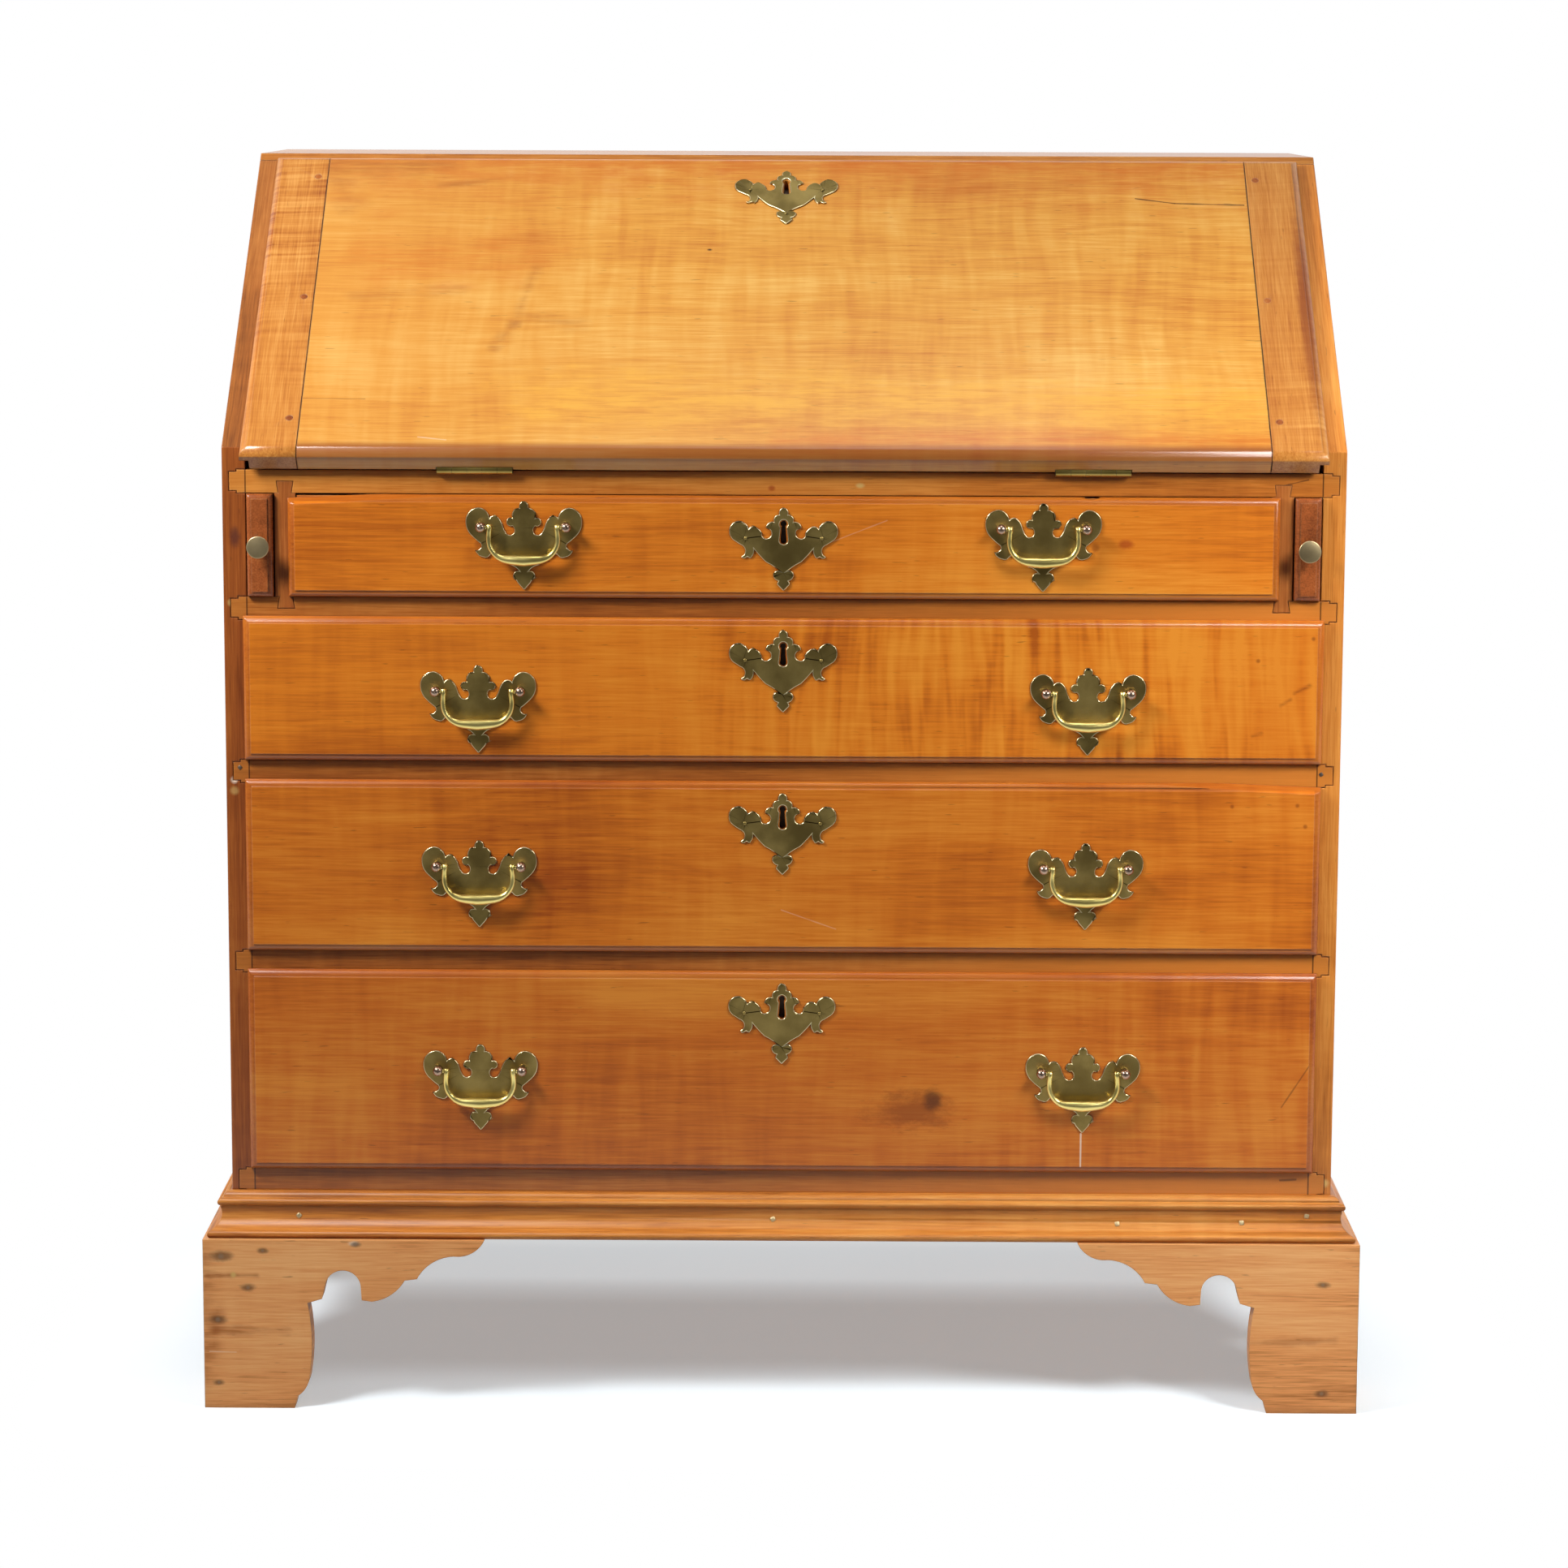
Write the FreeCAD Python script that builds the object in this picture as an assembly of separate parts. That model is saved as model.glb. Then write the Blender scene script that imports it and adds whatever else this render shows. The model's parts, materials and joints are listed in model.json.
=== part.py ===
import FreeCAD, Part
import math
import os

from FreeCAD import Vector

# Slant-front desk. Millimetres, +Z up, the drawers face -Y.
# While it is built, y = 0 is the front plane of the case and z = 0 the floor.

# Case
CASE_WIDTH = 914.4
CASE_DEPTH = 460.0
SIDE_THICKNESS = 19.0
TOP_THICKNESS = 19.0
TOP_LAP = 6.0
BOTTOM_THICKNESS = 20.0
BACK_THICKNESS = 12.0
BACK_REBATE = 9.0
BACK_BOARD_COUNT = 3
BACK_BOARD_GAP = 0.6
DADO_DEPTH = 6.0

# Slanted upper part
SLANT_ANGLE = 40.0
SLANT_RUN = 276.0
SLANT_LIFT = 18.3

# Rails, blades and drawer openings, named from the top down
BED_THICKNESS = 19.0
BLADE_THICKNESS = 19.0
BLADE_DEPTH = 60.0
TOP_OPENING = 85.0
SECOND_OPENING = 116.0
THIRD_OPENING = 140.0
BOTTOM_OPENING = 166.0
END_STEP = 7.0
END_TENON = 6.0
END_SHOULDER = 1.9
END_DEPTH = 40.0
SEAM = 0.3
RUNNER_WIDTH = 30.0

# Lopers and the upright partitions beside them
LOPER_SPACE = 23.5
LOPER_THICKNESS = 21.3
LOPER_BACK_GAP = 33.0
LOPER_PROUD = 7.0
LOPER_TRAVEL = 280.0
LOPER_STOP_RADIUS = 3.0
LOPER_STOP_LENGTH = 12.0
LOPER_STOP_PROUD = 5.0
LOPER_STOP_GAP = 0.4
PARTITION_THICKNESS = 17.4
PARTITION_BACK_GAP = 63.0
PARTITION_TAIL_NECK = 10.4
PARTITION_TAIL_END = 13.4
PARTITION_TAIL_HEIGHT = 9.5
PARTITION_TAIL_DEPTH = 16.0

# Base: bead tier over cove tier, on bracket feet
FOOT_HEIGHT = 144.4
FOOT_THICKNESS = 19.0
FOOT_PROUD = 22.5
COVE_HEIGHT = 25.6
COVE_PROUD = 19.0
COVE_EASE = 1.5
BEAD_HEIGHT = 11.3
BEAD_PROUD = 11.2
BEAD_RISE = 1.3
BEAD_UNDERCUT = 2.6
FRAME_INSET = 30.0
FRONT_BRACKET = 233.8
SIDE_BRACKET = 192.0
REAR_BRACKET = 120.0
GLUE_BLOCK = 32.0
GLUE_BLOCK_LIFT = 8.0

# Lid
LID_THICKNESS = 18.7
LID_FOOT = 2.0
LID_CHAMFER_RUN = 7.0
LID_CHAMFER_DROP = 5.5
LID_OVERLAP = 3.0
LID_BODY_GAP = 4.5
LID_SWING_GAP = 1.6
LID_REVEAL = 13.3
LID_REST_GAP = 0.4
LID_SEAM = 0.5
BATTEN_WIDTH = 46.7
TONGUE_LENGTH = 14.0
TONGUE_THICKNESS = 6.5
TONGUE_STOP = 12.0
PEG_RADIUS = 3.0
PEG_SHARES = (0.11, 0.53, 0.97)
PEG_FROM_JOINT = 8.5

# Lid hinges
HINGE_PLACE = 251.0
HINGE_LENGTH = 61.5
HINGE_KNUCKLES = 5
KNUCKLE_RADIUS = 4.25
KNUCKLE_GAP = 0.2
HINGE_PIN_RADIUS = 1.7
PIN_FIT = 0.04
LEAF_THICKNESS = 1.6
LEAF_WIDTH = 26.0
AXIS_AHEAD = 4.0
AXIS_LIFT = 1.5
BARREL_GAP = 0.4

# Drawers
SIDE_GAP = 1.0
RUN_GAP = 0.4
LIP_GAP = 0.4
LIP_PROUD = 8.0
LIP_TOP = 3.5
LIP_SIDE = 3.2
TOP_LIP_SIDE = 6.3
FRONT_BODY = 14.0
FRONT_LAP = 4.0
TOP_GAP = 1.6
THUMB_WIDTH = 5.6
THUMB_DEPTH = 5.4
THUMB_STEP = 0.8
DRAWER_BACK_GAP = 14.0
DRAWER_SIDE = 10.0
DRAWER_BOTTOM = 8.0
DRAWER_GROOVE = 5.0
DRAWER_BOTTOM_LIFT = 6.0
TAIL_PITCH = 36.0
TAIL_SHARE = 0.64
TAIL_SLOPE = 1.6

# Wear on the top lips: a facet planed off one end, and a dip
FACET_DROP = 9.0
FACET_SHARE = 0.5
DIP_SHARE = 0.62
DIP_RADIUS = 14.0
DIP_DEPTH = 1.9

# Bail handles, placed from the middle of each drawer front
HANDLE_PLACE = 249.0
TOP_HANDLE_PLACE = 211.0
TOP_HANDLE_LIFT = 17.0
SECOND_HANDLE_LIFT = -0.1
THIRD_HANDLE_LIFT = 1.6
BOTTOM_HANDLE_LIFT = 2.3
POST_HALF_SPACING = 34.6
PLATE_THICKNESS = 1.5
POST_STAND = 8.4
POST_BALL = 4.2
POST_NECK = 2.6
POST_SHANK = 2.0
SHANK_FIT = 0.05
NUT_SIZE = 9.0
NUT_THICKNESS = 3.0
POST_PAST_NUT = 1.0
BAIL_ARM = 28.0
BAIL_DROP = 27.1
ARM_RADIUS = 2.1
GRIP_RADIUS = 4.5
BAIL_PIN_RADIUS = 1.5
BAIL_PIN_FIT = 0.06
BAIL_PIN_PAST = 1.8
BAIL_PIN_END_GAP = 0.3

# Escutcheons and locks
ESCUTCHEON_DROP = 8.9
LID_ESCUTCHEON_DROP = 14.1
KEYHOLE_RADIUS = 3.5
KEYHOLE_LENGTH = 16.6
KEY_RADIUS = 2.6
PIN_HEAD = 1.7
PIN_DOME = 0.9
PIN_SHANK = 0.8
PIN_LENGTH = 7.0
LOCK_WIDTH = 64.0
LOCK_HEIGHT = 45.0
LOCK_DEPTH = 9.0
BOLT_WIDTH = 24.0
BOLT_HEIGHT = 14.0
BOLT_THICKNESS = 4.0
BOLT_GAP = 0.3

# Fittings inside the desk
GALLERY_SHELF = 8.0
GALLERY_OPENING = 60.0
GALLERY_PARTITION = 6.0
GALLERY_DIVIDER = 8.0
GALLERY_HOLES = 8
GALLERY_DRAWERS = 4
VALANCE_HEIGHT = 32.0
VALANCE_THICKNESS = 6.0
VALANCE_SETBACK = 2.0
SMALL_FRONT = 10.0
SMALL_SIDE = 6.0
SMALL_BOTTOM = 4.0
SMALL_GROOVE = 3.0
SMALL_BACK_GAP = 12.0
SMALL_KNOB_RADIUS = 6.5
SMALL_KNOB_LENGTH = 13.0
SMALL_KNOB_SHANK = 2.6

# Brass knobs of the lopers
KNOB_RADIUS = 9.2
KNOB_LENGTH = 12.5
KNOB_SHANK = 2.5
KNOB_SHANK_LENGTH = 14.0

# How far a cut runs past the face it opens
CUT_PAST = 1.0

# Levels and planes worked out from the sizes above
COVE_TOP = FOOT_HEIGHT + COVE_HEIGHT
CASE_FLOOR = COVE_TOP + BEAD_HEIGHT - BEAD_RISE
BOTTOM_LEVEL = CASE_FLOOR + BOTTOM_THICKNESS
THIRD_BLADE = BOTTOM_LEVEL + BOTTOM_OPENING
THIRD_LEVEL = THIRD_BLADE + BLADE_THICKNESS
SECOND_BLADE = THIRD_LEVEL + THIRD_OPENING
SECOND_LEVEL = SECOND_BLADE + BLADE_THICKNESS
FIRST_BLADE = SECOND_LEVEL + SECOND_OPENING
TOP_LEVEL = FIRST_BLADE + BLADE_THICKNESS
BED_UNDERSIDE = TOP_LEVEL + TOP_OPENING
BED_TOP = BED_UNDERSIDE + BED_THICKNESS
SLANT_FOOT = BED_TOP + SLANT_LIFT
SLOPE = math.radians(SLANT_ANGLE)
TOP_HEIGHT = SLANT_FOOT + SLANT_RUN * math.tan(SLOPE)
TOP_UNDERSIDE = TOP_HEIGHT - TOP_THICKNESS
HALF_WIDTH = CASE_WIDTH / 2
INNER = HALF_WIDTH - SIDE_THICKNESS
BACK_FACE = CASE_DEPTH - BACK_THICKNESS
DRAWER_LENGTH = BACK_FACE - DRAWER_BACK_GAP
LOPER_LENGTH = BACK_FACE - LOPER_BACK_GAP
PARTITION_LENGTH = BACK_FACE - PARTITION_BACK_GAP
GALLERY_FRONT = SLANT_RUN
SMALL_LENGTH = BACK_FACE - GALLERY_FRONT - SMALL_BACK_GAP
LOPER_WALL = INNER - LOPER_SPACE
TOP_DRAWER_SPACE = LOPER_WALL - PARTITION_THICKNESS
OPEN_LID_UNDERSIDE = BED_TOP - LID_THICKNESS
UNDER_LID = min(OPEN_LID_UNDERSIDE, BED_UNDERSIDE) - RUN_GAP
AXIS_HEIGHT = BED_TOP + AXIS_LIFT
MIDDLE_DEPTH = (CASE_DEPTH - FOOT_PROUD) / 2
FACE_PLANE = -LIP_PROUD
POST_PLANE = FACE_PLANE - PLATE_THICKNESS - POST_STAND

# The lid is drawn flat: y runs up the slope from the hinge axis, z is outward.
LID_INSIDE = AXIS_LIFT
LID_OUTSIDE = AXIS_LIFT + LID_THICKNESS
SLANT_FOOT_Y = AXIS_AHEAD * math.cos(SLOPE) + (SLANT_FOOT - AXIS_HEIGHT) * math.sin(SLOPE)
SLANT_PLANE = (SLANT_FOOT - AXIS_HEIGHT) * math.cos(SLOPE) - AXIS_AHEAD * math.sin(SLOPE)
LID_TOP_ARRIS = SLANT_FOOT_Y + SLANT_RUN / math.cos(SLOPE)
LIP_END = LID_TOP_ARRIS - LID_REVEAL
BODY_END = LID_TOP_ARRIS - TOP_THICKNESS / math.sin(SLOPE) - LID_SWING_GAP
LID_LIP_HALF = INNER + LID_OVERLAP
LID_BODY_HALF = INNER - LID_BODY_GAP
BATTEN_JOINT = LID_LIP_HALF - BATTEN_WIDTH

# Right half of the pierced brass plates, from the top point to the bottom point.
# Two numbers are a straight run to x, z; four are an arc through a point to x, z.
PLATE_HALF = (
    (0.0, 20.6),
    (3.3, 18.6, 3.6, 15.1),
    (8.1, 13.2, 9.4, 6.9),
    (14.3, 3.8, 9.3, 0.2),
    (7.7, -3.4, 8.9, -6.2),
    (11.6, -7.0, 14.2, -5.6),
    (16.0, -2.4, 17.2, 1.0),
    (18.4, 4.2, 20.4, 6.8),
    (24.0, 8.8, 27.8, 7.0),
    (30.4, 12.4, 36.9, 15.4),
    (44.8, 11.4, 47.4, 4.2),
    (46.2, -2.6, 42.4, -8.0),
    (39.2, -11.0, 36.0, -13.6),
    (34.6, -15.8, 35.7, -18.1),
    (37.6, -19.4, 39.9, -19.1),
    (38.2, -22.6, 34.4, -25.0),
    (31.4, -25.8),
    (29.2, -25.4),
    (26.2, -22.2),
    (19.4, -27.4, 12.0, -31.6),
    (7.0, -33.6, 4.0, -36.4),
    (7.8, -37.5, 9.0, -40.2),
    (8.7, -42.3, 6.3, -44.2),
    (5.4, -46.0),
    (0.0, -52.2),
)
ESCUTCHEON_HALF = (
    (0.0, 13.4),
    (3.4, 11.0, 3.6, 7.6),
    (7.4, 5.9, 7.9, 1.7),
    (12.2, 1.1, 14.5, -3.4),
    (11.8, -4.3),
    (9.9, -7.8, 12.4, -11.3),
    (15.6, -11.6, 17.5, -8.0),
    (19.0, -5.2, 21.4, -3.0),
    (24.8, -1.8, 28.4, -3.8),
    (31.3, 0.6, 36.0, 2.6),
    (42.3, -0.2, 44.3, -5.6),
    (43.1, -10.6, 39.4, -14.2),
    (35.0, -17.1),
    (31.4, -20.6, 32.3, -25.2),
    (35.0, -27.0),
    (32.0, -28.5),
    (29.4, -26.8),
    (27.0, -28.3),
    (24.6, -25.0, 24.0, -20.6),
    (20.0, -25.4, 14.6, -31.0),
    (8.6, -34.4, 3.4, -38.2),
    (7.5, -39.2, 8.4, -42.0),
    (7.2, -44.8, 4.2, -46.5),
    (5.5, -49.1),
    (0.0, -54.7),
)
ESCUTCHEON_TOP = ESCUTCHEON_HALF[0][1]
ESCUTCHEON_PINS = ((-31.0, -11.5), (31.0, -11.5))
PENDANT_PIN = (0.0, -41.5)

# Right half of a bail from the end of its arm to the middle of the grip, as shares of the
# arm's place and of the drop, and how far the thickness has grown from arm to grip.
BAIL_HALF = (
    (1.0, -0.08, 0.0),
    (1.0, 0.3, 0.0),
    (0.972, 0.55, 0.0),
    (0.907, 0.7, 0.02),
    (0.807, 0.823, 0.06),
    (0.668, 0.915, 0.3),
    (0.418, 0.974, 0.7),
    (0.0, 1.0, 1.0),
)

# Lower edge of a bracket foot from its toe to the scroll, as the distance from the
# outer corner and the height as a share of the foot's height.
BRACKET_SCROLL = (
    (75.0, 0.0),
    (77.6, 0.072),
    (84.4, 0.12, 87.6, 0.183),
    (90.0, 0.39, 86.6, 0.626),
    (98.6, 0.651),
    (101.4, 0.73),
    (116.4, 0.82, 130.9, 0.73),
    (131.6, 0.644),
    (140.0, 0.636),
    (157.0, 0.681, 167.5, 0.762),
    (177.7, 0.771),
)


def block(x, y, z):
    size = (x[1] - x[0], y[1] - y[0], z[1] - z[0])
    return Part.makeBox(*size, Vector(x[0], y[0], z[0]))


def placed(plane, a, b, along):
    if plane == "yz":
        return Vector(along, a, b)
    if plane == "xz":
        return Vector(a, along, b)
    return Vector(a, b, along)


def prism(plane, path, low, high):
    """Solid between two planes, with the outline of a path of lines and arcs."""
    edges = []
    start = placed(plane, path[0][0], path[0][1], low)
    here = start
    for step in path[1:]:
        end = placed(plane, step[-2], step[-1], low)
        if len(step) == 4:
            middle = placed(plane, step[0], step[1], low)
            edges.append(Part.Arc(here, middle, end).toShape())
        else:
            edges.append(Part.LineSegment(here, end).toShape())
        here = end
    if here.distanceToPoint(start) > 1e-6:
        edges.append(Part.LineSegment(here, start).toShape())
    face = Part.Face(Part.Wire(edges))
    return face.extrude(placed(plane, 0, 0, high - low))


def both_halves(half):
    """Closed path from the right half of a symmetrical outline."""
    path = list(half)
    for index in range(len(half) - 1, 0, -1):
        end = half[index - 1][-2:]
        back = (-end[0], end[1])
        if len(half[index]) == 4:
            back = (-half[index][0], half[index][1]) + back
        path.append(back)
    return path


def turned(profile, x, z):
    """Turned solid about an axis along Y; the profile gives radius and y."""
    edges = []
    for index in range(len(profile)):
        first = profile[index - 1][-2:]
        step = profile[index]
        start = Vector(first[0], first[1], 0)
        end = Vector(step[-2], step[-1], 0)
        if len(step) == 4:
            edges.append(Part.Arc(start, Vector(step[0], step[1], 0), end).toShape())
        else:
            edges.append(Part.LineSegment(start, end).toShape())
    face = Part.Face(Part.Wire(edges))
    solid = face.revolve(Vector(0, 0, 0), Vector(0, 1, 0), 360)
    solid.translate(Vector(x, 0, z))
    return solid


def rod(axis, radius, x, y, z):
    """Round rod along X or Y; the pair given for that axis is its two ends."""
    if axis == "x":
        base = Vector(x[0], y, z)
        return Part.makeCylinder(radius, x[1] - x[0], base, Vector(1, 0, 0))
    base = Vector(x, y[0], z)
    return Part.makeCylinder(radius, y[1] - y[0], base, Vector(0, 1, 0))


def mirrored(shape):
    return shape.mirror(Vector(0, 0, 0), Vector(1, 0, 0))


def moved(shape, x, y, z):
    copy = shape.copy()
    copy.translate(Vector(x, y, z))
    return copy


def joined(first, *others):
    return first.fuse(list(others)).removeSplitter()


def without(shape, *tools):
    return shape.cut(list(tools))


def on_lid(shape):
    """Moves a piece drawn flat on the lid to the closed lid."""
    copy = shape.copy()
    copy.rotate(Vector(0, 0, 0), Vector(1, 0, 0), SLANT_ANGLE)
    copy.translate(Vector(0, -AXIS_AHEAD, AXIS_HEIGHT))
    return copy


def moulded_edge(low, high, back, front, thumb, depth, step):
    """Section of a board with a thumb-moulded edge at both ends, as across, y."""
    return (
        (low, back),
        (low, front + step + depth),
        thumb_arc(low, 1, front + step, thumb, depth),
        (low + thumb, front),
        (high - thumb, front),
        (high - thumb, front + step),
        thumb_arc(high, -1, front + step, thumb, depth, True),
        (high, back),
    )


def thumb_arc(edge, inward, face, thumb, depth, outward=False):
    """Quarter-round between the side of a board and its face."""
    bulge = 1 - math.sqrt(0.5)
    middle = (edge + inward * thumb * bulge, face + depth * bulge)
    if outward:
        return middle + (edge, face + depth)
    return middle + (edge + inward * thumb, face)


def moulded_plate(x, z, back, front, thumb, depth, step):
    across = prism("xy", moulded_edge(x[0], x[1], back, front, thumb, depth, step), z[0], z[1])
    section = [tuple(swapped(point)) for point in
               moulded_edge(z[0], z[1], back, front, thumb, depth, step)]
    return across.common(prism("yz", section, x[0], x[1]))


def swapped(point):
    pairs = []
    for index in range(0, len(point), 2):
        pairs.extend((point[index + 1], point[index]))
    return pairs


def rail_end(side, low, high, gap):
    """Stepped end that runs into the front edge of a side, grown by a gap."""
    step = block((INNER, INNER + END_STEP + gap), (-gap, END_DEPTH + gap), (low - gap, high + gap))
    tip = INNER + END_STEP + END_TENON + gap
    tenon_low = low + END_SHOULDER - gap
    tenon_high = high - END_SHOULDER + gap
    tenon = block((INNER, tip), (-gap, END_DEPTH + gap), (tenon_low, tenon_high))
    shape = joined(step, tenon)
    if side > 0:
        return shape
    return mirrored(shape)


def cross_rail(low, high, depth):
    body = block((-INNER, INNER), (0, depth), (low, high))
    return joined(body, rail_end(1, low, high, 0), rail_end(-1, low, high, 0))


def partition_tail(level, direction, gap):
    """Dovetail at the front of a loper partition, upward or downward."""
    middle = LOPER_WALL - PARTITION_THICKNESS / 2
    neck = PARTITION_TAIL_NECK / 2 + gap
    end = PARTITION_TAIL_END / 2 + gap
    tip = level + direction * (PARTITION_TAIL_HEIGHT + gap)
    path = (
        (middle - neck, level),
        (middle + neck, level),
        (middle + end, tip),
        (middle - end, tip),
    )
    return prism("xz", path, -gap, PARTITION_TAIL_DEPTH + gap)


def rail_levels():
    """Underside and top of each piece that runs into the front edges of the sides."""
    return (
        (BED_UNDERSIDE, BED_TOP),
        (FIRST_BLADE, TOP_LEVEL),
        (SECOND_BLADE, SECOND_LEVEL),
        (THIRD_BLADE, THIRD_LEVEL),
        (CASE_FLOOR, BOTTOM_LEVEL),
    )


def slant_y(height):
    return (height - SLANT_FOOT) / math.tan(SLOPE)


def case_side():
    side_top = TOP_HEIGHT - TOP_LAP
    outline = (
        (0, CASE_FLOOR),
        (0, SLANT_FOOT),
        (slant_y(side_top), side_top),
        (CASE_DEPTH, side_top),
        (CASE_DEPTH, CASE_FLOOR),
    )
    side = prism("yz", outline, INNER, HALF_WIDTH)
    cuts = [block((INNER, INNER + BACK_REBATE), (BACK_FACE, CASE_DEPTH), (CASE_FLOOR, TOP_HEIGHT))]
    dado = (INNER, INNER + DADO_DEPTH)
    cuts.append(block(dado, (BLADE_DEPTH, BACK_FACE), (BED_UNDERSIDE, BED_TOP)))
    for low, high in rail_levels():
        cuts.append(rail_end(1, low, high, SEAM))
    return without(side, *cuts)


def top_board():
    outline = (
        (slant_y(TOP_UNDERSIDE), TOP_UNDERSIDE),
        (slant_y(TOP_HEIGHT), TOP_HEIGHT),
        (CASE_DEPTH, TOP_HEIGHT),
        (CASE_DEPTH, TOP_UNDERSIDE),
    )
    board = prism("yz", outline, -HALF_WIDTH, HALF_WIDTH)
    under = (TOP_UNDERSIDE, TOP_HEIGHT - TOP_LAP)
    right = block((INNER, HALF_WIDTH), (0, CASE_DEPTH), under)
    return without(board, right, mirrored(right))


def backboards():
    pitch = (TOP_UNDERSIDE - CASE_FLOOR) / BACK_BOARD_COUNT
    wide = (-INNER - BACK_REBATE, INNER + BACK_REBATE)
    boards = []
    for index in range(BACK_BOARD_COUNT):
        low = CASE_FLOOR + index * pitch
        high = low + pitch
        if index < BACK_BOARD_COUNT - 1:
            high = high - BACK_BOARD_GAP
        boards.append(block(wide, (BACK_FACE, CASE_DEPTH), (low, high)))
    return boards


def hinge_spans():
    """Ends of the two hinges along X."""
    half = HINGE_LENGTH / 2
    return ((-HINGE_PLACE - half, -HINGE_PLACE + half), (HINGE_PLACE - half, HINGE_PLACE + half))


def lid_rail():
    rail = cross_rail(BED_UNDERSIDE, BED_TOP, BLADE_DEPTH)
    cuts = [partition_tail(BED_UNDERSIDE, 1, SEAM)]
    cuts.append(mirrored(cuts[0]))
    for span in hinge_spans():
        wide = (span[0] - BARREL_GAP, span[1] + BARREL_GAP)
        leaf_end = LEAF_WIDTH - AXIS_AHEAD
        cuts.append(rod("x", KNUCKLE_RADIUS + BARREL_GAP, wide, -AXIS_AHEAD, AXIS_HEIGHT))
        cuts.append(block(span, (-AXIS_AHEAD, leaf_end), (BED_TOP - LEAF_THICKNESS, BED_TOP)))
    return without(rail, *cuts)


def drawer_blades():
    tail = partition_tail(TOP_LEVEL, -1, SEAM)
    first = without(cross_rail(FIRST_BLADE, TOP_LEVEL, BLADE_DEPTH), tail, mirrored(tail))
    second = cross_rail(SECOND_BLADE, SECOND_LEVEL, BLADE_DEPTH)
    third = cross_rail(THIRD_BLADE, THIRD_LEVEL, BLADE_DEPTH)
    return [first, second, third]


def loper_stop_place():
    """Height, and y at rest, of the peg that stops a loper."""
    height = (TOP_LEVEL + UNDER_LID) / 2
    return height, PARTITION_LENGTH - END_DEPTH


def loper_partition():
    thick = (LOPER_WALL - PARTITION_THICKNESS, LOPER_WALL)
    board = block(thick, (0, PARTITION_LENGTH), (TOP_LEVEL, BED_UNDERSIDE))
    board = joined(board, partition_tail(BED_UNDERSIDE, 1, 0), partition_tail(TOP_LEVEL, -1, 0))
    height, rest = loper_stop_place()
    reach = LOPER_STOP_RADIUS + LOPER_STOP_GAP
    slot_x = (LOPER_WALL - LOPER_STOP_PROUD - LOPER_STOP_GAP, LOPER_WALL)
    slot = block(slot_x, (rest - LOPER_TRAVEL - reach, rest + reach), (height - reach, height + reach))
    return without(board, slot)


def drawer_runners():
    length = (BLADE_DEPTH, BACK_FACE)
    inner_edge = TOP_DRAWER_SPACE - RUNNER_WIDTH / 2
    runners = [block((inner_edge, INNER), length, (FIRST_BLADE, TOP_LEVEL))]
    narrow = (INNER - RUNNER_WIDTH, INNER)
    runners.append(block(narrow, length, (SECOND_BLADE, SECOND_LEVEL)))
    runners.append(block(narrow, length, (THIRD_BLADE, THIRD_LEVEL)))
    return runners + [mirrored(runner) for runner in runners]


def base_frame():
    """Mitred base: a cove tier and a bead tier on three sides, a plain rail behind."""
    neck = BEAD_PROUD - BEAD_UNDERCUT
    hollow = BEAD_PROUD - 0.15 * BEAD_UNDERCUT
    cove = (
        (-FRAME_INSET, FOOT_HEIGHT),
        (COVE_PROUD - COVE_EASE, FOOT_HEIGHT),
        (COVE_PROUD, FOOT_HEIGHT + 0.11 * COVE_HEIGHT,
         COVE_PROUD - 0.7 * COVE_EASE, FOOT_HEIGHT + 0.22 * COVE_HEIGHT),
        (hollow, FOOT_HEIGHT + 0.41 * COVE_HEIGHT, neck, COVE_TOP - 0.08 * COVE_HEIGHT),
        (neck, COVE_TOP),
        (-FRAME_INSET, COVE_TOP),
    )
    bead_top = CASE_FLOOR + BEAD_RISE
    bead = (
        (-FRAME_INSET, COVE_TOP),
        (0.82 * BEAD_PROUD, COVE_TOP),
        (BEAD_PROUD, COVE_TOP + 0.28 * BEAD_HEIGHT, 0.71 * BEAD_PROUD, COVE_TOP + 0.55 * BEAD_HEIGHT),
        (0.59 * BEAD_PROUD, COVE_TOP + 0.58 * BEAD_HEIGHT),
        (0.45 * BEAD_PROUD, COVE_TOP + 0.87 * BEAD_HEIGHT, 0.14 * BEAD_PROUD, bead_top),
        (0, bead_top),
        (0, CASE_FLOOR),
        (-FRAME_INSET, CASE_FLOOR),
    )
    reach = HALF_WIDTH + COVE_PROUD
    inner = HALF_WIDTH - FRAME_INSET
    height = (FOOT_HEIGHT, bead_top)
    pieces = []
    for section in (cove, bead):
        front_path = [tuple(mirror_first(point)) for point in section]
        front = prism("yz", front_path, -reach, reach)
        side_path = [tuple(shift_first(point, HALF_WIDTH)) for point in section]
        side = prism("xz", side_path, -COVE_PROUD, CASE_DEPTH)
        corner = ((inner, FRAME_INSET), (reach, -COVE_PROUD), (reach, FRAME_INSET))
        wedge = prism("xy", corner, height[0], height[1])
        pieces.append(without(front, wedge, mirrored(wedge)))
        toe = ((inner, FRAME_INSET), (reach, -COVE_PROUD), (inner, -COVE_PROUD))
        side = without(side, prism("xy", toe, height[0], height[1]))
        pieces.append(side)
        pieces.append(mirrored(side))
    back = (CASE_DEPTH - FRAME_INSET, CASE_DEPTH)
    pieces.append(block((-inner, inner), back, (FOOT_HEIGHT, CASE_FLOOR)))
    return pieces


def mirror_first(point):
    return [-value if index % 2 == 0 else value for index, value in enumerate(point)]


def shift_first(point, amount):
    return [value + amount if index % 2 == 0 else value for index, value in enumerate(point)]


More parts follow.
